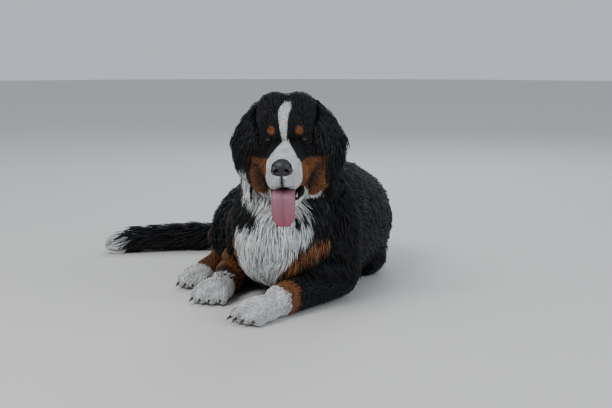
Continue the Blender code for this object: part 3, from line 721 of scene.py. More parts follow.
# %% Marks on the body, the legs and the tail
def body_marks(points):
    """Colours of everything behind the head, in the dog's own coordinates."""
    x, y, z = points.T
    colour = np.tile(BLACK, (len(x), 1))
    t = (CHEST_PLANE - STANDPOINT[1]) / (y - STANDPOINT[1])
    seen_x = STANDPOINT[0] + (x - STANDPOINT[0]) * t + wave(points, 0.05, 3) * 0.004
    seen_z = STANDPOINT[2] + (z - STANDPOINT[2]) * t + wave(points, 0.05, 4) * 0.004
    in_front = ramp(-y, -0.085, 0.03)
    band = np.abs((seen_x - 0.050) * 0.55 + (seen_z - 0.118) * -0.80)
    near_band = (seen_x > -0.012) & (seen_x < 0.098) & (seen_z < 0.155) & (seen_z > 0.060)
    colour = mix(colour, RUST, (1 - ramp(band, 0.014, 0.012)) * near_band * in_front)
    left_strip = (np.abs(seen_x + 0.113) < 0.012) & (seen_z > 0.105) & (seen_z < 0.155)
    colour = mix(colour, RUST * 0.7, left_strip * in_front)
    right = np.interp(seen_z, BIB_HEIGHTS, BIB_RIGHT)
    left = np.interp(seen_z, BIB_HEIGHTS, BIB_LEFT)
    bib = ramp(np.minimum(seen_x - right, left - seen_x), 0.0, 0.006)
    bib *= ramp(seen_z, BIB_HEIGHTS[0], 0.01) * ramp(-seen_z, -0.310, 0.02) * in_front
    spot = 1 - ramp(np.hypot((seen_x - 0.051) / 0.0075, (seen_z - 0.212) / 0.013), 1.0, 0.4)
    return mix(colour, WHITE, np.clip(np.maximum(bib, spot * in_front), 0, 1))


def limb_marks(name, points, along, inner):
    """Colours of a leg or the tail: along runs from 0 to 1 down it, inner is 1 on its inner side."""
    colour = np.tile(BLACK, (len(points), 1))
    uneven = along + wave(points, 0.03, 11) * 0.03
    if name == "tail":
        return mix(colour, WHITE, ramp(uneven, 0.955, 0.03))
    if name == "forearm_left":
        colour = mix(colour, RUST, ramp(uneven, 0.86, 0.05))
        return mix(colour, WHITE, ramp(uneven, 0.975, 0.03))
    if name == "forearm_right":
        inside = inner * ramp(uneven, 0.2, 0.2) * 0.8
        colour = mix(colour, RUST, np.maximum(ramp(uneven, 0.72, 0.10), inside))
        return mix(colour, BLACK, ramp(uneven, 0.90, 0.03) * (1 - ramp(uneven, 1.02, 0.03)) * 0.8)
    if name in ("shank", "pastern_left", "pastern_right"):
        return mix(colour, RUST * 0.8, ramp(uneven, 0.25, 0.2))
    if name.startswith("forepaw"):
        edge = 0.12 if name.endswith("left") else 0.24
        return mix(np.tile(RUST * 0.9, (len(points), 1)), WHITE, ramp(uneven, edge, 0.06))
    if name.startswith("hindpaw"):
        return mix(np.tile(RUST * 0.8, (len(points), 1)), WHITE, ramp(uneven, 0.50, 0.10))
    if name.startswith("arm") or name.startswith("thigh"):
        return mix(colour, RUST * 0.6, inner * ramp(uneven, 0.75, 0.2) * 0.7)
    return colour


# %% [markdown]
# ## How the coat lies
# Hair on a dog flows from the nose back over the skull, down the neck and ribs to the tail, and down
# every leg to the toes. The flow comes from the bones' paths, mixed where two parts meet, so the coat
# has no seams, and slow waves turn it a little, as real coats part and swirl.

# %% Every part that grows hair
def paw_limb(paw):
    place = paw_matrix(paw)
    wide, long_ = paw.width * 0.47, paw.length
    rows = [
        (0, long_ * 0.20, 0.034, wide * 0.74, 0.032, PAW_FUR),
        (0, -long_ * 0.12, 0.030, wide * 0.90, 0.031, PAW_FUR),
        (0, -long_ * 0.50, 0.026, wide, 0.029, PAW_FUR),
        (0, -long_ * 0.95, 0.018, wide * 0.95, 0.019, PAW_FUR),
    ]
    return Limb(rows, matrix=place, lie=(1, 0.6), hair=(0.0120, 0.0028, 0.0017))


GROWN = {**BODY, **{name: paw_limb(paw) for name, paw in PAWS.items()}}
GROWN.update({f"ear_{side}": ear for side, ear in EARS.items()})
NAMES = list(GROWN)
TRUNK = (NAMES.index("torso"), NAMES.index("neck"))
EAR_PARTS = [NAMES.index(n) for n in NAMES if n.startswith("ear")]
STATIONS = 28
HEAD_TURN = np.array(HEAD)[:3, :3]
HEAD_PLACE = np.array(HEAD)[:3, 3]
DOWN = np.array((0.0, 0.0, -1.0))
# Length, depth and tuft width on the face, what crown and cheeks add to it, and those on the muzzle
FACE_HAIR = np.array((0.0105, 0.0032, 0.0017))
CROWN_HAIR = np.array((0.018, 0.0115, 0.0006))
CHEEK_HAIR = np.array((0.018, 0.0080, 0.0008))
MUZZLE_HAIR = np.array((0.0062, 0.0014, 0.0011))


# %% How near a point is to a part, and how far along it
def unit(vectors):
    return vectors / np.maximum(np.linalg.norm(vectors, axis=1, keepdims=True), 1e-9)


def limb_table(limb):
    """Centres, side, up and along vectors and half sizes at the stations of a path, as arrays."""
    rows = []
    for i in range(STATIONS):
        s = i / (STATIONS - 1)
        centre, side, up, along = limb.frame(s)
        here = limb.at(s)
        rows.append((*centre, *side, *up, *along, here.wide - here.coat, here.tall - here.coat))
    rows = np.array(rows)
    return rows[:, 0:3], rows[:, 3:6], rows[:, 6:9], rows[:, 9:12], rows[:, 12:14]


TABLES = {name: limb_table(limb) for name, limb in GROWN.items()}
print("parts with hair:", len(TABLES))


def nearness(points, name):
    """How near points are to one limb's surface, how far along it, its direction and its inner side."""
    centres, sides, ups, alongs, sizes = TABLES[name]
    away = points[:, None, :] - centres[None]
    across = np.einsum("nsk,sk->ns", away, sides) / sizes[None, :, 0]
    high = np.einsum("nsk,sk->ns", away, ups) / sizes[None, :, 1]
    length = np.einsum("nsk,sk->ns", away, alongs) / (0.6 * sizes.mean(axis=1)[None])
    reach = np.sqrt(across**2 + high**2 + length**2)
    best = reach.argmin(axis=1)
    rows = np.arange(len(points))
    beyond = np.abs(reach[rows, best] - 1)
    along = best / (STATIONS - 1)
    return beyond, along, alongs[best], across[rows, best]


# %% The way of the hair on the head
def head_flow(local):
    """The way the hair lies on the head, in the head's own directions."""
    x, y, z = local.T
    side = np.sign(x)
    away = np.abs(x)
    climb = 0.10 + 1.3 * ramp(-y, -0.045, 0.05) * ramp(z, -0.020, 0.03)
    crown = ramp(z, 0.050, 0.04)
    back = np.stack((x * (3 + 7 * crown), np.ones(len(x)), climb * (1 - 0.6 * crown)), axis=1)
    down = np.stack((x * 2, np.full(len(x), 0.55), -np.ones(len(x))), axis=1)
    flow = mix(back, down, ramp(-z, 0.035, 0.05) * ramp(y, -0.03, 0.05))
    lip = np.stack((x * 22, np.full(len(x), 0.35), -np.ones(len(x))), axis=1)
    flow = mix(flow, lip, ramp(-z, 0.048, 0.02) * ramp(-y, 0.02, 0.05))
    round_eye = np.stack((x - side * EYE_SPREAD, np.zeros(len(x)), z), axis=1)
    near = np.exp(-(np.hypot(away - EYE_SPREAD, z) / 0.017) ** 2) * ramp(-y, -0.03, 0.02)
    flow = mix(unit(flow), unit(round_eye) + (0, 0.4, 0), near * 0.6)
    return unit(flow)


# %% Direction, length and colour of the coat at any point
def read_coat(points, normals):
    """Flow, hair sizes, colour and part for every point of the skin."""
    local = (points - HEAD_PLACE) @ HEAD_TURN
    x, y, z = local.T
    away = np.abs(x)
    score = np.stack([nearness(points, name)[0] for name in NAMES])
    order = score.argmin(axis=0)
    weight = np.exp(-((score - score.min(axis=0)) / 0.10) ** 2)
    on_head = (y < 0.100) & (z > -0.150) & (away < 0.092)
    neck_score = score[NAMES.index("neck")]
    on_head &= ~((z < -0.128) & (neck_score < 0.12))
    on_head &= ~((y > 0.075) & (neck_score < 0.15))
    ear_score = np.minimum(score[NAMES.index("ear_left")], score[NAMES.index("ear_right")])
    on_head &= ear_score > 0.22
    on_head |= (y < 0.010) & (z > -0.150)
    flow = np.zeros_like(points)
    hair = np.zeros((len(points), 3))
    colour = np.zeros((len(points), 3))
    for i, name in enumerate(NAMES):
        _, along, way, across = nearness(points, name)
        limb = GROWN[name]
        lie = way * limb.lie[0] + DOWN * limb.lie[1]
        flow += unit(lie) * weight[i][:, None]
        hair += np.array(limb.hair) * weight[i][:, None]
        mine = order == i
        if name in ("torso", "neck"):
            colour[mine] = body_marks(points[mine])
        elif not name.startswith("ear"):
            inner = ramp(-across[mine] * np.sign(TABLES[name][0][0, 0]), 0.2, 0.5)
            colour[mine] = limb_marks(name, points[mine], along[mine], inner)
        else:
            colour[mine] = BLACK
    hair /= weight.sum(axis=0)[:, None]
    chest = ramp(-points[:, 1], -0.10, 0.08) * np.isin(order, TRUNK)
    ones = np.ones(len(points))
    falling = np.stack(((points[:, 0] + 0.02) * 3.5, ones * -0.1, -ones), axis=1)
    flow = mix(unit(flow), unit(falling), chest)
    turned = head_flow(local) @ HEAD_TURN.T
    at_head = on_head.astype(float)
    flow = mix(flow, turned, at_head)
    crown = ramp(z, 0.052, 0.03) * ramp(y, 0.01, 0.04)
    crown *= ramp(-away, -0.060, 0.03)
    cheek = ramp(-z, 0.050, 0.04) * ramp(y, 0.0, 0.04)
    face = FACE_HAIR + crown[:, None] * CROWN_HAIR
    face = face + cheek[:, None] * CHEEK_HAIR
    muzzle = ramp(-y, 0.012, 0.02) * ramp(z, -0.105, 0.02)
    face = mix(face, MUZZLE_HAIR, muzzle)
    hair = mix(hair, face, at_head)
    shaggy = ramp(away, 0.098, 0.02) * np.isin(order, EAR_PARTS)
    hair *= 1 + shaggy[:, None] * (0.15, 0.45, 0.0)
    colour[on_head] = head_marks(local[on_head])
    turn = wave(points, 0.11, 21) * 0.32 + wave(points, 0.035, 22) * 0.18
    turn *= np.where(on_head, 0.4 + 0.9 * crown, 1.0)
    flow = unit(flow - normals * np.sum(flow * normals, axis=1, keepdims=True))
    cross = np.cross(normals, flow)
    flow = unit(flow * np.cos(turn)[:, None] + cross * np.sin(turn)[:, None])
    return flow, hair, colour, np.where(on_head, -1, order)


# %% Colour the skin by the same rule
skin.data.validate()
bm = bmesh.new()
bm.from_mesh(skin.data)
bmesh.ops.triangulate(bm, faces=bm.faces[:])
bm.to_mesh(skin.data)
bm.free()
skin_points = numbers(skin.data.vertices, "co", 3)
skin_normals = numbers(skin.data.vertices, "normal", 3)
skin_coat = read_coat(skin_points, skin_normals)


def bare_places(local):
    """True on the lids' rims, lips, nose and inside the mouth, where no hair grows."""
    x, y, z = local.T
    away = np.abs(x)
    bare = (np.hypot((away - EYE_SPREAD) / 0.0102, z / 0.0050) < 1) & (y < 0.02)
    nose_place = (local - (0, -0.103, NOSE_HEIGHT - 0.001)) / (0.0232, 0.022, 0.0185)
    bare |= np.linalg.norm(nose_place, axis=1) < 1
    bare |= (z < -0.098) & (z > LOWER_LIP) & (y < 0.0) & (away > 0.015)
    bare |= (z < -0.0865) & (z > -0.118) & (y < 0.03) & (away < 0.047) & (mouth_gap(local) > 0)
    return bare


def mouth_gap(local):
    """Above 0 between the lips, where the mouth is open."""
    _, y, z = local.T
    roof = np.interp(-y, (-0.02, 0.02, 0.06, 0.10), (-0.094, -0.098, -0.098, -0.092))
    floor = np.interp(-y, (-0.02, 0.02, 0.06, 0.10), (-0.097, -0.108, -0.117, -0.122))
    return np.minimum(roof - z, z - floor)


local = (skin_points - HEAD_PLACE) @ HEAD_TURN
bare = bare_places(local) & (skin_coat[3] == -1)
inside_mouth = (mouth_gap(local) > 0.0) & (local[:, 1] < 0.03) & (np.abs(local[:, 0]) < 0.050)
skin_colour = mix(skin_coat[2], DARK_SKIN, (bare | inside_mouth).astype(float))
paint(skin.data, "Coat", skin_colour)
print("skin coloured:", len(skin_points), "points")

# %% [markdown]
# ## The coat
# Each tuft is a thin solid blade of three sides that ends in a point. It leaves the skin at its root, bends
# over and follows the body, step by step, from the nearest place on the skin to the next, and neighbours
# draw together towards one tip, as locks of a real coat do. Arrays of numbers make the hundred thousand or
# so tufts in seconds, where a copied object for each would take minutes.

# %% Roots of the tufts, spread evenly over the skin
CoatPart = namedtuple("CoatPart", "title parts per_m2 steps clump pull")
LEGS = [n for n in NAMES if n.startswith(("forearm", "pastern", "shank"))]
COATS = [
    CoatPart("face", [-1], 190000, 2, 10, 0.20),
    CoatPart("ears", EAR_PARTS, 120000, 4, 12, 0.40),
    CoatPart("chest", ["front"], 90000, 4, 14, 0.45),
    CoatPart("neck", [NAMES.index("neck")], 76000, 4, 14, 0.42),
    CoatPart("back", [NAMES.index("torso")], 50000, 3, 14, 0.38),
    CoatPart("arms", [NAMES.index(n) for n in NAMES if n.startswith("arm")], 70000, 3, 12, 0.38),
    CoatPart("thighs", [NAMES.index(n) for n in NAMES if n.startswith("thigh")], 52000, 3, 14, 0.38),
    CoatPart("tail", [NAMES.index("tail")], 60000, 4, 12, 0.40),
    CoatPart("legs", [NAMES.index(n) for n in LEGS], 105000, 2, 10, 0.15),
    CoatPart("paws", [NAMES.index(n) for n in PAWS], 200000, 2, 8, 0.10),
]
CHEST_BACK = 0.075  # the long chest coat grows in front of this
LOWEST_ROOT = 0.006
MUZZLE_DENSER = 1.3
dice = np.random.default_rng(7)
triangles = numbers(skin.data.polygons, "vertices", 3, np.int32)
corners = skin_points[triangles]
across = np.cross(corners[:, 1] - corners[:, 0], corners[:, 2] - corners[:, 0])
areas = np.linalg.norm(across, axis=1) / 2
centres = corners.mean(axis=1)
part_of = skin_coat[3][triangles[:, 0]]
front = np.isin(part_of, TRUNK) & (centres[:, 1] < CHEST_BACK)
grows = ~bare[triangles].any(axis=1) & ~inside_mouth[triangles].any(axis=1)
grows &= centres[:, 2] > LOWEST_ROOT
tree = BVHTree.FromPolygons(skin_points.tolist(), triangles.tolist())
print("skin that grows hair:", round(float(areas[grows].sum()), 3), "m2")


def roots_for(coat):
    if coat.parts == ["front"]:
        chosen = front
    else:
        chosen = np.isin(part_of, coat.parts) & ~front
    share = areas * (chosen & grows) * coat.per_m2
    if coat.title == "face":
        at = (centres - HEAD_PLACE) @ HEAD_TURN
        share *= 1 + MUZZLE_DENSER * ramp(-at[:, 1], 0.012, 0.02)
    ends = np.cumsum(share)
    marks = np.arange(int(ends[-1])) + dice.random(int(ends[-1]))
    faces = np.searchsorted(ends, marks)
    u, v = dice.random((2, len(faces)))
    flip = u + v > 1
    u, v = np.where(flip, 1 - u, u), np.where(flip, 1 - v, v)
    weights = np.stack((1 - u - v, u, v), axis=1)[..., None]
    points = (corners[faces] * weights).sum(axis=1)
    normals = unit((skin_normals[triangles[faces]] * weights).sum(axis=1))
    return points, normals


# %% Lines of the tufts over the skin
def tuft_paths(points, flow, length, steps):
    """Places and normals along each tuft, at 0, 1/steps ... 1 of its length."""
    places, lifts = [points], [None]
    here, way = points, flow
    for _ in range(steps):
        trial = here + way * (length / steps)[:, None]
        found = [tree.find_nearest(p) for p in trial.tolist()]
        here = np.array([f[0] for f in found])
        lift = np.array([f[1] for f in found])
        places.append(here)
        lifts.append(lift)
        way = unit(way - lift * np.sum(way * lift, axis=1, keepdims=True))
    lifts[0] = lifts[1]
    return np.stack(places, axis=1), np.stack(lifts, axis=1)


RISE = {2: (-0.10, 0.90, 0.60), 3: (-0.10, 0.66, 0.98, 0.78), 4: (-0.10, 0.55, 0.90, 0.98, 0.80)}
WIDTH = {2: (0.75, 1.0, 0.0), 3: (0.60, 1.0, 0.75, 0.0), 4: (0.60, 0.95, 1.0, 0.65, 0.0)}
LOWEST = 0.0016
ATLAS_PATCH = 0.003
SMOOTHER = 0.85  # how far long tufts are drawn to one even curve


def grow(coat):
    """The roots, lines, lifts and widths of one part's tufts."""
    points, normals = roots_for(coat)
    flow, hair, _, _ = read_coat(points, normals)
    size = len(points)
    length = hair[:, 0] * dice.uniform(0.78, 1.18, size)
    depth = hair[:, 1] * dice.uniform(0.55, 1.0, size) * (1 + 0.12 * wave(points, 0.06, 31))
    width = hair[:, 2] * dice.uniform(0.7, 1.25, size)
    places, lifts = tuft_paths(points, flow, length, coat.steps)
    rise = np.array(RISE[coat.steps])
    line = places + lifts * (depth[:, None] * rise[None])[..., None]
    leaders = dice.choice(size, max(1, size // coat.clump), replace=False)
    finder = KDTree(len(leaders))
    for i, leader in enumerate(leaders):
        finder.insert(points[leader] + flow[leader] * 0.3 * length[leader], i)
    finder.balance()
    guesses = (points + flow * (0.3 * length)[:, None]).tolist()
    leader_of = leaders[[finder.find(p)[1] for p in guesses]]
    t = np.linspace(0, 1, coat.steps + 1)
    pull = coat.pull * t[None] ** 1.5 * dice.uniform(0.4, 1.3, size)[:, None]
    close = np.linalg.norm(line[leader_of][:, -1] - line[:, -1], axis=1) < 1.2 * length
    line = line + (line[leader_of] - line) * (pull * close[:, None])[..., None]
    stray = dice.normal(size=(size, 3)) * (0.045 * length)[:, None]
    line = line + stray[:, None, :] * (t**2)[None, :, None]
    if coat.steps > 2:
        ends = line[:, :1] * (1 - t[None, :, None]) ** 2 + line[:, -1:] * t[None, :, None] ** 2
        middle = line[:, 1:-1].mean(axis=1, keepdims=True)
        handle = 2 * middle - 0.5 * (line[:, :1] + line[:, -1:])
        line += (ends + handle * (2 * t * (1 - t))[None, :, None] - line) * SMOOTHER
    line[..., 2] = np.maximum(line[..., 2], LOWEST + 0.0012)
    return points, line, lifts, width


# %% Blades round the lines
def tuft_mesh(title, line, lifts, width, colour, uv):
    """Blades of three sides round the lines, with one patch of the coat's atlas each."""
    size, rings = line.shape[:2]
    rings -= 1
    along = np.gradient(line, axis=1)
    along = along / np.maximum(np.linalg.norm(along, axis=2, keepdims=True), 1e-9)
    side = np.cross(along, lifts)
    side /= np.maximum(np.linalg.norm(side, axis=2, keepdims=True), 1e-9)
    lift = np.cross(side, along)
    half = (width[:, None] * np.array(WIDTH[rings])[None] / 2)[..., None]
    ring = np.stack((line - side * half, line + side * half, line + lift * half * 0.9), axis=2)[:, :rings]
    verts = np.concatenate((ring.reshape(size, rings * 3, 3), line[:, -1:, :]), axis=1)
    verts[..., 2] = np.maximum(verts[..., 2], LOWEST)
    each = rings * 3 + 1
    faces = [(0, 2, 1)]
    for r in range(rings - 1):
        for a, b in ((0, 1), (1, 2), (2, 0)):
            low_a, low_b = r * 3 + a, r * 3 + b
            faces += [(low_a, low_b, low_b + 3), (low_a, low_b + 3, low_a + 3)]
    last = (rings - 1) * 3
    faces += [(last + a, last + b, each - 1) for a, b in ((0, 1), (1, 2), (2, 0))]
    faces = np.array(faces, dtype=np.int32)
    every = (faces[None] + (np.arange(size) * each)[:, None, None]).reshape(-1, 3)
    mesh = bpy.data.meshes.new(title)
    mesh.vertices.add(size * each)
    mesh.vertices.foreach_set("co", verts.ravel())
    mesh.loops.add(every.size)
    mesh.loops.foreach_set("vertex_index", every.ravel())
    mesh.polygons.add(len(every))
    mesh.polygons.foreach_set("loop_start", np.arange(0, every.size, 3, dtype=np.int32))
    paint(mesh, "Coat", np.repeat(colour, each, axis=0))
    spot = np.zeros((each, 2))
    spot[:-1, 0] = np.tile((-0.5, 0.5, 0.0), rings)
    spot[:-1, 1] = np.repeat(np.arange(rings) / rings - 0.5, 3)
    spot[-1] = (0, 0.5)
    patches = uv[:, None, :] + spot[None] * ATLAS_PATCH
    layer = mesh.uv_layers.new(name="OFBake")
    layer.data.foreach_set("uv", patches.reshape(-1, 2)[every.ravel()].ravel())
    mesh.update()
    mesh.validate()
    mesh.shade_smooth()
    return add_object(title, mesh)


# %% [markdown]
# ## The atlas of the coat
# Each tuft gets one small patch of the atlas, which lies where its root lies on the skin's own unwrap. The
# unwrap is made on a light copy of the skin, as a full one would be slow to cut.

# %% Unwrap a light copy of the skin
LIGHT_SHARE = 0.08  # of the skin's faces
light = skin.copy()
light.data = skin.data.copy()
bpy.context.scene.collection.objects.link(light)
fewer = light.modifiers.new("fewer", "DECIMATE")
fewer.ratio = LIGHT_SHARE
settle(light)
bpy.context.view_layer.objects.active = light
for obj in bpy.context.selected_objects:
    obj.select_set(False)
light.select_set(True)
bpy.ops.object.mode_set(mode="EDIT")
bpy.ops.mesh.select_all(action="SELECT")
bpy.ops.uv.smart_project(angle_limit=math.radians(66), island_margin=0.004)
bpy.ops.object.mode_set(mode="OBJECT")
light.data.calc_loop_triangles()
flat = numbers(light.data.uv_layers.active.data, "uv", 2)
light_points = np.array([v.co[:] for v in light.data.vertices])
light_faces = np.array([t.vertices[:] for t in light.data.loop_triangles])
light_loops = np.array([t.loops[:] for t in light.data.loop_triangles])
light_tree = BVHTree.FromPolygons(light_points.tolist(), light_faces.tolist())
bpy.data.objects.remove(light)
print("light copy of the skin:", len(light_faces), "triangles")


def atlas_place(points):
    """Where points of the skin lie on its unwrap."""
    found = [light_tree.find_nearest(p) for p in points.tolist()]
    at = np.array([f[0] for f in found])
    face = np.array([f[2] for f in found])
    a, b, c = (light_points[light_faces[face][:, k]] for k in range(3))
    whole = np.linalg.norm(np.cross(b - a, c - a), axis=1)
    share_b = np.linalg.norm(np.cross(at - a, c - a), axis=1) / np.maximum(whole, 1e-12)
    share_c = np.linalg.norm(np.cross(b - a, at - a), axis=1) / np.maximum(whole, 1e-12)
    share_b, share_c = np.clip(share_b, 0, 1), np.clip(share_c, 0, 1)
    uv = [flat[light_loops[face][:, k]] for k in range(3)]
    return uv[0] * (1 - share_b - share_c)[:, None] + uv[1] * share_b[:, None] + uv[2] * share_c[:, None]


# %% Grow every part of the coat
VIEWED = 0.70  # how far along a tuft it shows, so its colour is read there
PIECE_LIMIT = 190000  # triangles
LIGHTEST = 0.86
tufts = []
for coat in COATS:
    points, line, lifts, width = grow(coat)
    spot = coat.steps * VIEWED
    low_ring = int(spot)
    shown = line[:, low_ring] * (1 - spot + low_ring) + line[:, low_ring + 1] * (spot - low_ring)
    colour = read_coat(shown, lifts[:, 1])[2]
    lightness = dice.uniform(0.75, 1.30, len(points)) * (1 + 0.22 * wave(points, 0.03, 41))
    colour = np.clip(colour * lightness[:, None], 0, LIGHTEST)
    shares = max(1, math.ceil(len(points) * (6 * coat.steps - 2) / PIECE_LIMIT))
    uv = atlas_place(points)
    for n in range(shares):
        pick = np.arange(n, len(points), shares)
        name = f"coat_{coat.title}" + (f"_{n + 1}" if shares > 1 else "")
        tufts.append(tuft_mesh(name, line[pick], lifts[pick], width[pick], colour[pick], uv[pick]))
    print(coat.title, len(points), "tufts in", shares, "pieces")
print("coat:", sum(len(o.data.polygons) for o in tufts), "triangles")

# %% [markdown]
# ## Eyes
# Each eye is one ball with a clear bulge over the iris. The iris is nearly as dark as the pupil, as it is
# in the breed, and the wet gloss comes from a clear coat.

# %% Eyeballs
EYE_BALL = 0.0118
PUPIL, IRIS = 0.20, 0.50  # half angles as seen from the middle of the ball
EYE_WHITE = np.array((0.035, 0.022, 0.019))  # in the shade of the lids
EYE_RIM = np.array((0.012, 0.006, 0.004))
EYE_IRIS = np.array((0.020, 0.008, 0.004))
EYE_PUPIL = np.array((0.002, 0.002, 0.002))
pieces = {}
for name, side in (("left", 1), ("right", -1)):
    bm = bmesh.new()
    bmesh.ops.create_uvsphere(bm, u_segments=40, v_segments=32, radius=EYE_BALL)
    move(bm, Matrix.Rotation(math.radians(90), 4, "X"))
    angles = []
    for vertex in bm.verts:
        angle = vertex.co.angle(Vector((-side * 0.06, -1, 0.02)))
        angles.append(angle)
        if angle < IRIS:
            vertex.co *= 1 + 0.075 * (1 - (angle / IRIS) ** 2)
    move(bm, by=(side * EYE_SPREAD, EYE_DEPTH, 0))
    eye = to_object(f"eyeball_{name}", bm, HEAD)
    angles = np.array(angles)
    colours = mix(np.tile(EYE_WHITE, (len(angles), 1)), EYE_RIM, ramp(-angles, -0.62, 0.2))
    colours = mix(colours, EYE_IRIS, ramp(-angles, -IRIS + 0.05, 0.1))
    colours = mix(colours, EYE_PUPIL, ramp(-angles, -PUPIL, 0.05))
    paint(eye.data, "Tint", colours)
    pieces[f"eye_{name}"] = eye
print("eyes:", len(pieces))

# %% [markdown]
# ## Nose
# The nose leather is a rounded pad with two wings. Comma-shaped nostrils run back along its sides, and a
# groove parts it in the middle.

# %% Nose leather
NOSE_GRAIN, NOSTRIL_GRAIN = 0.0009, 0.0006
nose_forms = [
    oval_ball((0, -0.1005, 0.001), (0.0210, 0.0165, 0.0170)),
    oval_ball((0, -0.0960, 0.009), (0.0185, 0.0150, 0.0100)),
    oval_ball((0, -0.1050, -0.014), (0.0085, 0.0085, 0.0080)),
]
for side in (-1, 1):
    nose_forms.append(oval_ball((side * 0.0130, -0.1035, -0.004), (0.0110, 0.0130, 0.0115)))
    nose_forms.append(oval_ball((side * 0.0075, -0.1060, -0.010), (0.0090, 0.0100, 0.0070)))
NOSE_PLACE = HEAD @ Matrix.Translation((0, -0.0015, NOSE_HEIGHT - 0.0015))
nose = to_object("nose_leather", joined(nose_forms), NOSE_PLACE)
one_skin(nose, NOSE_GRAIN, 5)
for side in (-1, 1):
    slit_turn = Matrix.Rotation(side * 0.5, 4, "Y")
    hole = [
        oval_ball((side * 0.0105, -0.1175, -0.0025), (0.0046, 0.0080, 0.0040)),
        oval_ball((side * 0.0165, -0.1135, -0.0065), (0.0065, 0.0060, 0.0022), turn=slit_turn),
    ]
    hole = to_object("nostril", joined(hole), NOSE_PLACE)
    one_skin(hole, NOSTRIL_GRAIN, 2)
    cut(nose, "DIFFERENCE", hole)
groove = oval_ball((0, -0.1215, -0.010), (0.0010, 0.0060, 0.0120))
cut(nose, "DIFFERENCE", to_object("groove", groove, NOSE_PLACE))
print("nose:", len(nose.data.polygons), "faces")

# %% [markdown]
# ## Tongue and teeth
# The tongue hangs over the lower lip, with a groove down its middle. Of the teeth only the lower canines
# show, one on each side of the tongue.

# %% Tongue
TONGUE = middle_path(
    [
        (0.000, -0.104, 0.0195, 0.0058),
        (-0.045, -0.101, 0.0235, 0.0058),
        (-0.077, -0.100, 0.0240, 0.0058),
        (-0.095, -0.109, 0.0245, 0.0058),
        (-0.102, -0.132, 0.0252, 0.0058),
        (-0.103, -0.155, 0.0222, 0.0050),
        (-0.102, -TONGUE_DROP + 0.007, 0.0130, 0.0038),
    ],
    up=(0, -0.6, 0.8),
    power=2.4,
)
GROOVE_DEPTH, EDGE_CURL = 0.0019, 0.0025
bm = oval_tube(TONGUE, 56, 40)
bm.normal_update()
pushes = []
for vertex in bm.verts:
    outer = max(0.0, vertex.normal.dot(Vector((0, -0.85, 0.5))))
    groove = GROOVE_DEPTH * math.exp(-((vertex.co.x / 0.0026) ** 2))
    curl = EDGE_CURL * (vertex.co.x / 0.025) ** 2
    pushes.append((vertex, vertex.normal * (curl - groove) * outer))
for vertex, push in pushes:
    vertex.co += push
TONGUE_PINK = np.array((0.250, 0.098, 0.135))
TONGUE_TIP = np.array((0.300, 0.070, 0.108))
places = np.array([v.co[:] for v in bm.verts])
tongue = to_object("tongue_surface", bm, HEAD)
low_down = ramp(-places[:, 2], 0.150, 0.04)
colours = mix(np.tile(TONGUE_PINK, (len(places), 1)), TONGUE_TIP, low_down)
colours *= (1 + 0.10 * wave(places * (1, 0.15, 0.15), 0.005, 51))[:, None]
# painted shade down the middle groove of the tongue
colours = mix(colours, colours * 0.78, np.exp(-((places[:, 0] / 0.0035) ** 2)))
# painted shade: the back of the tongue, inside the mouth, at half brightness
colours = mix(colours, colours * 0.5, ramp(places[:, 1], -0.080, 0.03))
paint(tongue.data, "Tint", colours)
print("tongue:", len(tongue.data.polygons), "faces")

# %% Lower canine teeth
teeth = []
for side in (-1, 1):
    tooth = bmesh.new()
    bmesh.ops.create_cone(tooth, cap_ends=True, segments=14, radius1=0.0028, radius2=0.0006, depth=0.010)
    move(tooth, Matrix.Rotation(side * 0.25, 4, "Y"), (side * 0.0265, -0.070, -0.1085))
    rounding = {"offset": 0.0003, "affect": "EDGES", "segments": 2, "profile": 0.5, "material": -1}
    bmesh.ops.bevel(tooth, geom=tooth.edges[:], **rounding)
    teeth.append(tooth)
teeth = to_object("canine_teeth", joined(teeth), HEAD)
print("teeth:", len(teeth.data.polygons), "faces")

# %% [markdown]
# ## Claws
# Each toe carries one dark claw. A short rod is cut into rings, which follow an arc and thin to a point.

# %% Claws
CLAW_LENGTH, CLAW_THICK = 0.016, 0.0034
CLAW_BEND = 0.9  # radians, from root to tip
for name, paw in PAWS.items():
    claws = []
    for place, _, splay in toes(paw):
        claw = bmesh.new()
        radii = {"radius1": CLAW_THICK, "radius2": CLAW_THICK}
        bmesh.ops.create_cone(claw, cap_ends=True, segments=12, depth=1, **radii)
        cuts = [e for e in claw.edges if abs(e.verts[0].co.z - e.verts[1].co.z) > 0.5]
        bmesh.ops.subdivide_edges(claw, edges=cuts, cuts=6)
        for vertex in claw.verts:
            t = vertex.co.z + 0.5
            thin = math.sqrt(max(0.0, 1 - t * t * 0.96))
            x, y = vertex.co.x * 0.75 * thin, vertex.co.y * thin
            bend = t * CLAW_BEND
            ahead, drop = math.sin(bend), 1 - math.cos(bend)
            vertex.co = (x, -CLAW_LENGTH * ahead / CLAW_BEND, y - CLAW_LENGTH * drop / CLAW_BEND)
        root = (place.x * 1.10, place.y - paw.length * 0.155, 0.0150)
        move(claw, Matrix.Rotation(splay, 4, "Z"), root)
        claws.append(claw)
    claws = to_object(f"claws_{name}", joined(claws), paw_matrix(paw))
    pieces[f"claws_{name}"] = claws
print("claws on", len(PAWS), "paws")

# %% [markdown]
# ## Finishes
# Colours come from what was painted on each mesh, and small unevenness from noise on object coordinates.

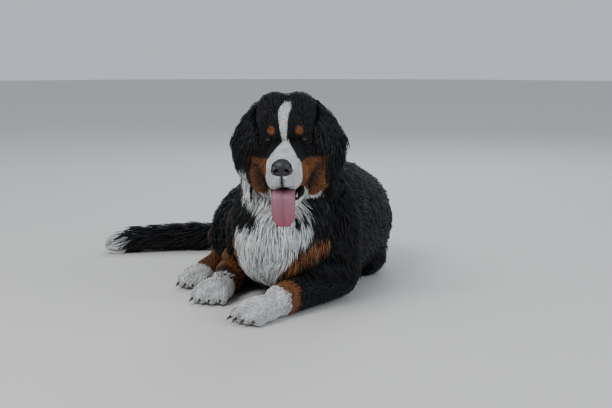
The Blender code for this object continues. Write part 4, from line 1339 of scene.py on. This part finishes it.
# %% Materials
def finish_of(name, attribute, colour, values, bump=None):
    """A principled finish, its colour from a painted attribute or one value, with a fine bump."""
    material = bpy.data.materials.new(name)
    material.use_nodes = True
    nodes, links = material.node_tree.nodes, material.node_tree.links
    shader = nodes["Principled BSDF"]
    for key, value in values.items():
        shader.inputs[key].default_value = value
    if attribute:
        painted = nodes.new("ShaderNodeAttribute")
        painted.attribute_name = attribute
        links.new(painted.outputs["Color"], shader.inputs["Base Color"])
    else:
        shader.inputs["Base Color"].default_value = (*colour, 1)
    if bump:
        kind, scale, strength, distance = bump
        place = nodes.new("ShaderNodeTexCoord")
        texture = nodes.new(kind)
        texture.inputs["Scale"].default_value = scale
        lift = nodes.new("ShaderNodeBump")
        lift.inputs["Strength"].default_value = strength
        lift.inputs["Distance"].default_value = distance
        links.new(place.outputs["Object"], texture.inputs["Vector"])
        height = "Distance" if kind == "ShaderNodeTexVoronoi" else "Fac"
        links.new(texture.outputs[height], lift.inputs["Height"])
        links.new(lift.outputs["Normal"], shader.inputs["Normal"])
    return material


COAT = finish_of(
    "coat",
    "Coat",
    None,
    {"Roughness": 0.44, "Specular IOR Level": 0.30, "Sheen Weight": 0.02, "Sheen Roughness": 0.45},
)
SKIN = finish_of(
    "skin",
    "Coat",
    None,
    {"Roughness": 0.62, "Specular IOR Level": 0.15},
    ("ShaderNodeTexNoise", 900, 0.5, 0.0006),
)
NOSE = finish_of(
    "nose_leather",
    None,
    (0.0070, 0.0072, 0.0085),
    {"Roughness": 0.46, "Coat Weight": 0.20, "Coat Roughness": 0.35},
    ("ShaderNodeTexVoronoi", 780, 0.55, 0.0005),
)
TONGUE_WET = finish_of(
    "tongue",
    "Tint",
    None,
    {
        "Roughness": 0.50,
        "Subsurface Weight": 0.10,
        "Subsurface Scale": 0.004,
        "Coat Weight": 0.08,
        "Coat Roughness": 0.3,
    },
    ("ShaderNodeTexNoise", 1400, 0.35, 0.0005),
)
EYE = finish_of("eye", "Tint", None, {"Roughness": 0.25, "Coat Weight": 0.6, "Coat Roughness": 0.05})
HORN = finish_of("claw", None, (0.030, 0.024, 0.021), {"Roughness": 0.34})
TOOTH = finish_of("tooth", None, (0.62, 0.57, 0.46), {"Roughness": 0.25, "Coat Weight": 0.4})

# %% Give each piece its finish, its body and its place
FLESH = [n for n in frame["nodes"] if n not in ("eye_left", "eye_right", "nose", "tongue")]
finishes = [(skin, SKIN, "black_coat"), (nose, NOSE, "nose_leather"), (tongue, TONGUE_WET, "tongue")]
finishes += [(tuft, COAT, "black_coat") for tuft in tufts]
finishes += [(pieces[f"eye_{side}"], EYE, "eye") for side in ("left", "right")]
finishes += [(teeth, TOOTH, None)] + [(pieces[f"claws_{name}"], HORN, None) for name in PAWS]
for obj, material, slot in finishes:
    obj.data.materials.clear()
    obj.data.materials.append(material)
    obj.data.transform(Matrix.Translation(SHIFT))
    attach(obj, "root")
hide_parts(*FLESH)
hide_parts("nose")
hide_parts("tongue")
for side in ("left", "right"):
    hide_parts(f"eye_{side}")
print("pieces:", len(finishes))

# %% [markdown]
# ## Floor, light and camera
# A plain pale floor and soft lights, so that the black coat shows its form. The camera stands where the
# dog was seen from.

# %% Stage
FLOOR_RADIUS = 14
SKY_STRENGTH = 0.70
LENS = 71  # mm, on a sensor 36 mm wide
LOOKS_DOWN = 7.97  # degrees
bm = bmesh.new()
bmesh.ops.create_circle(bm, cap_ends=True, segments=64, radius=FLOOR_RADIUS)
floor = to_object("floor", bm)
floor.data.materials.append(finish_of("floor", None, (0.62, 0.61, 0.59), {"Roughness": 0.85}))
floor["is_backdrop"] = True
world = bpy.data.worlds.new("studio")
bpy.context.scene.world = world
world.use_nodes = True
sky = world.node_tree.nodes["Background"]
sky.inputs["Color"].default_value = (0.80, 0.86, 0.95, 1)
sky.inputs["Strength"].default_value = SKY_STRENGTH


def soft_light(name, place, size, power, colour):
    light = bpy.data.lights.new(name, "AREA")
    light.shape, light.size, light.energy, light.color = "DISK", size, power, colour
    lamp = add_object(name, light)
    lamp.location = place
    lamp.rotation_euler = (Vector((0, 0, 0.2)) - Vector(place)).to_track_quat("-Z", "Y").to_euler()
    lamp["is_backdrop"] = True


soft_light("key", (-1.6, -2.2, 3.0), 1.6, 80, (1.0, 0.97, 0.93))
soft_light("fill", (2.8, -2.0, 1.6), 2.0, 38, (0.92, 0.96, 1.0))
soft_light("back", (0.8, 2.8, 2.6), 1.8, 40, (0.93, 0.97, 1.0))
camera_data = bpy.data.cameras.new("camera")
camera = add_object("camera", camera_data)
camera_data.sensor_width = 36
camera_data.lens = LENS
camera.location = Vector(STANDPOINT) + SHIFT
camera.rotation_euler = (math.radians(90 - LOOKS_DOWN), 0, 0)
bpy.context.scene.camera = camera
print("camera at", [round(v, 3) for v in camera.location])

# %% Sizes, and the end
VISUAL_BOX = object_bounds()
sizes = {"cad": [list(c) for c in CAD_BOX], "visual": [list(c) for c in VISUAL_BOX]}
for name, box in sizes.items():
    print(name, [[round(v, 4) for v in corner] for corner in box])
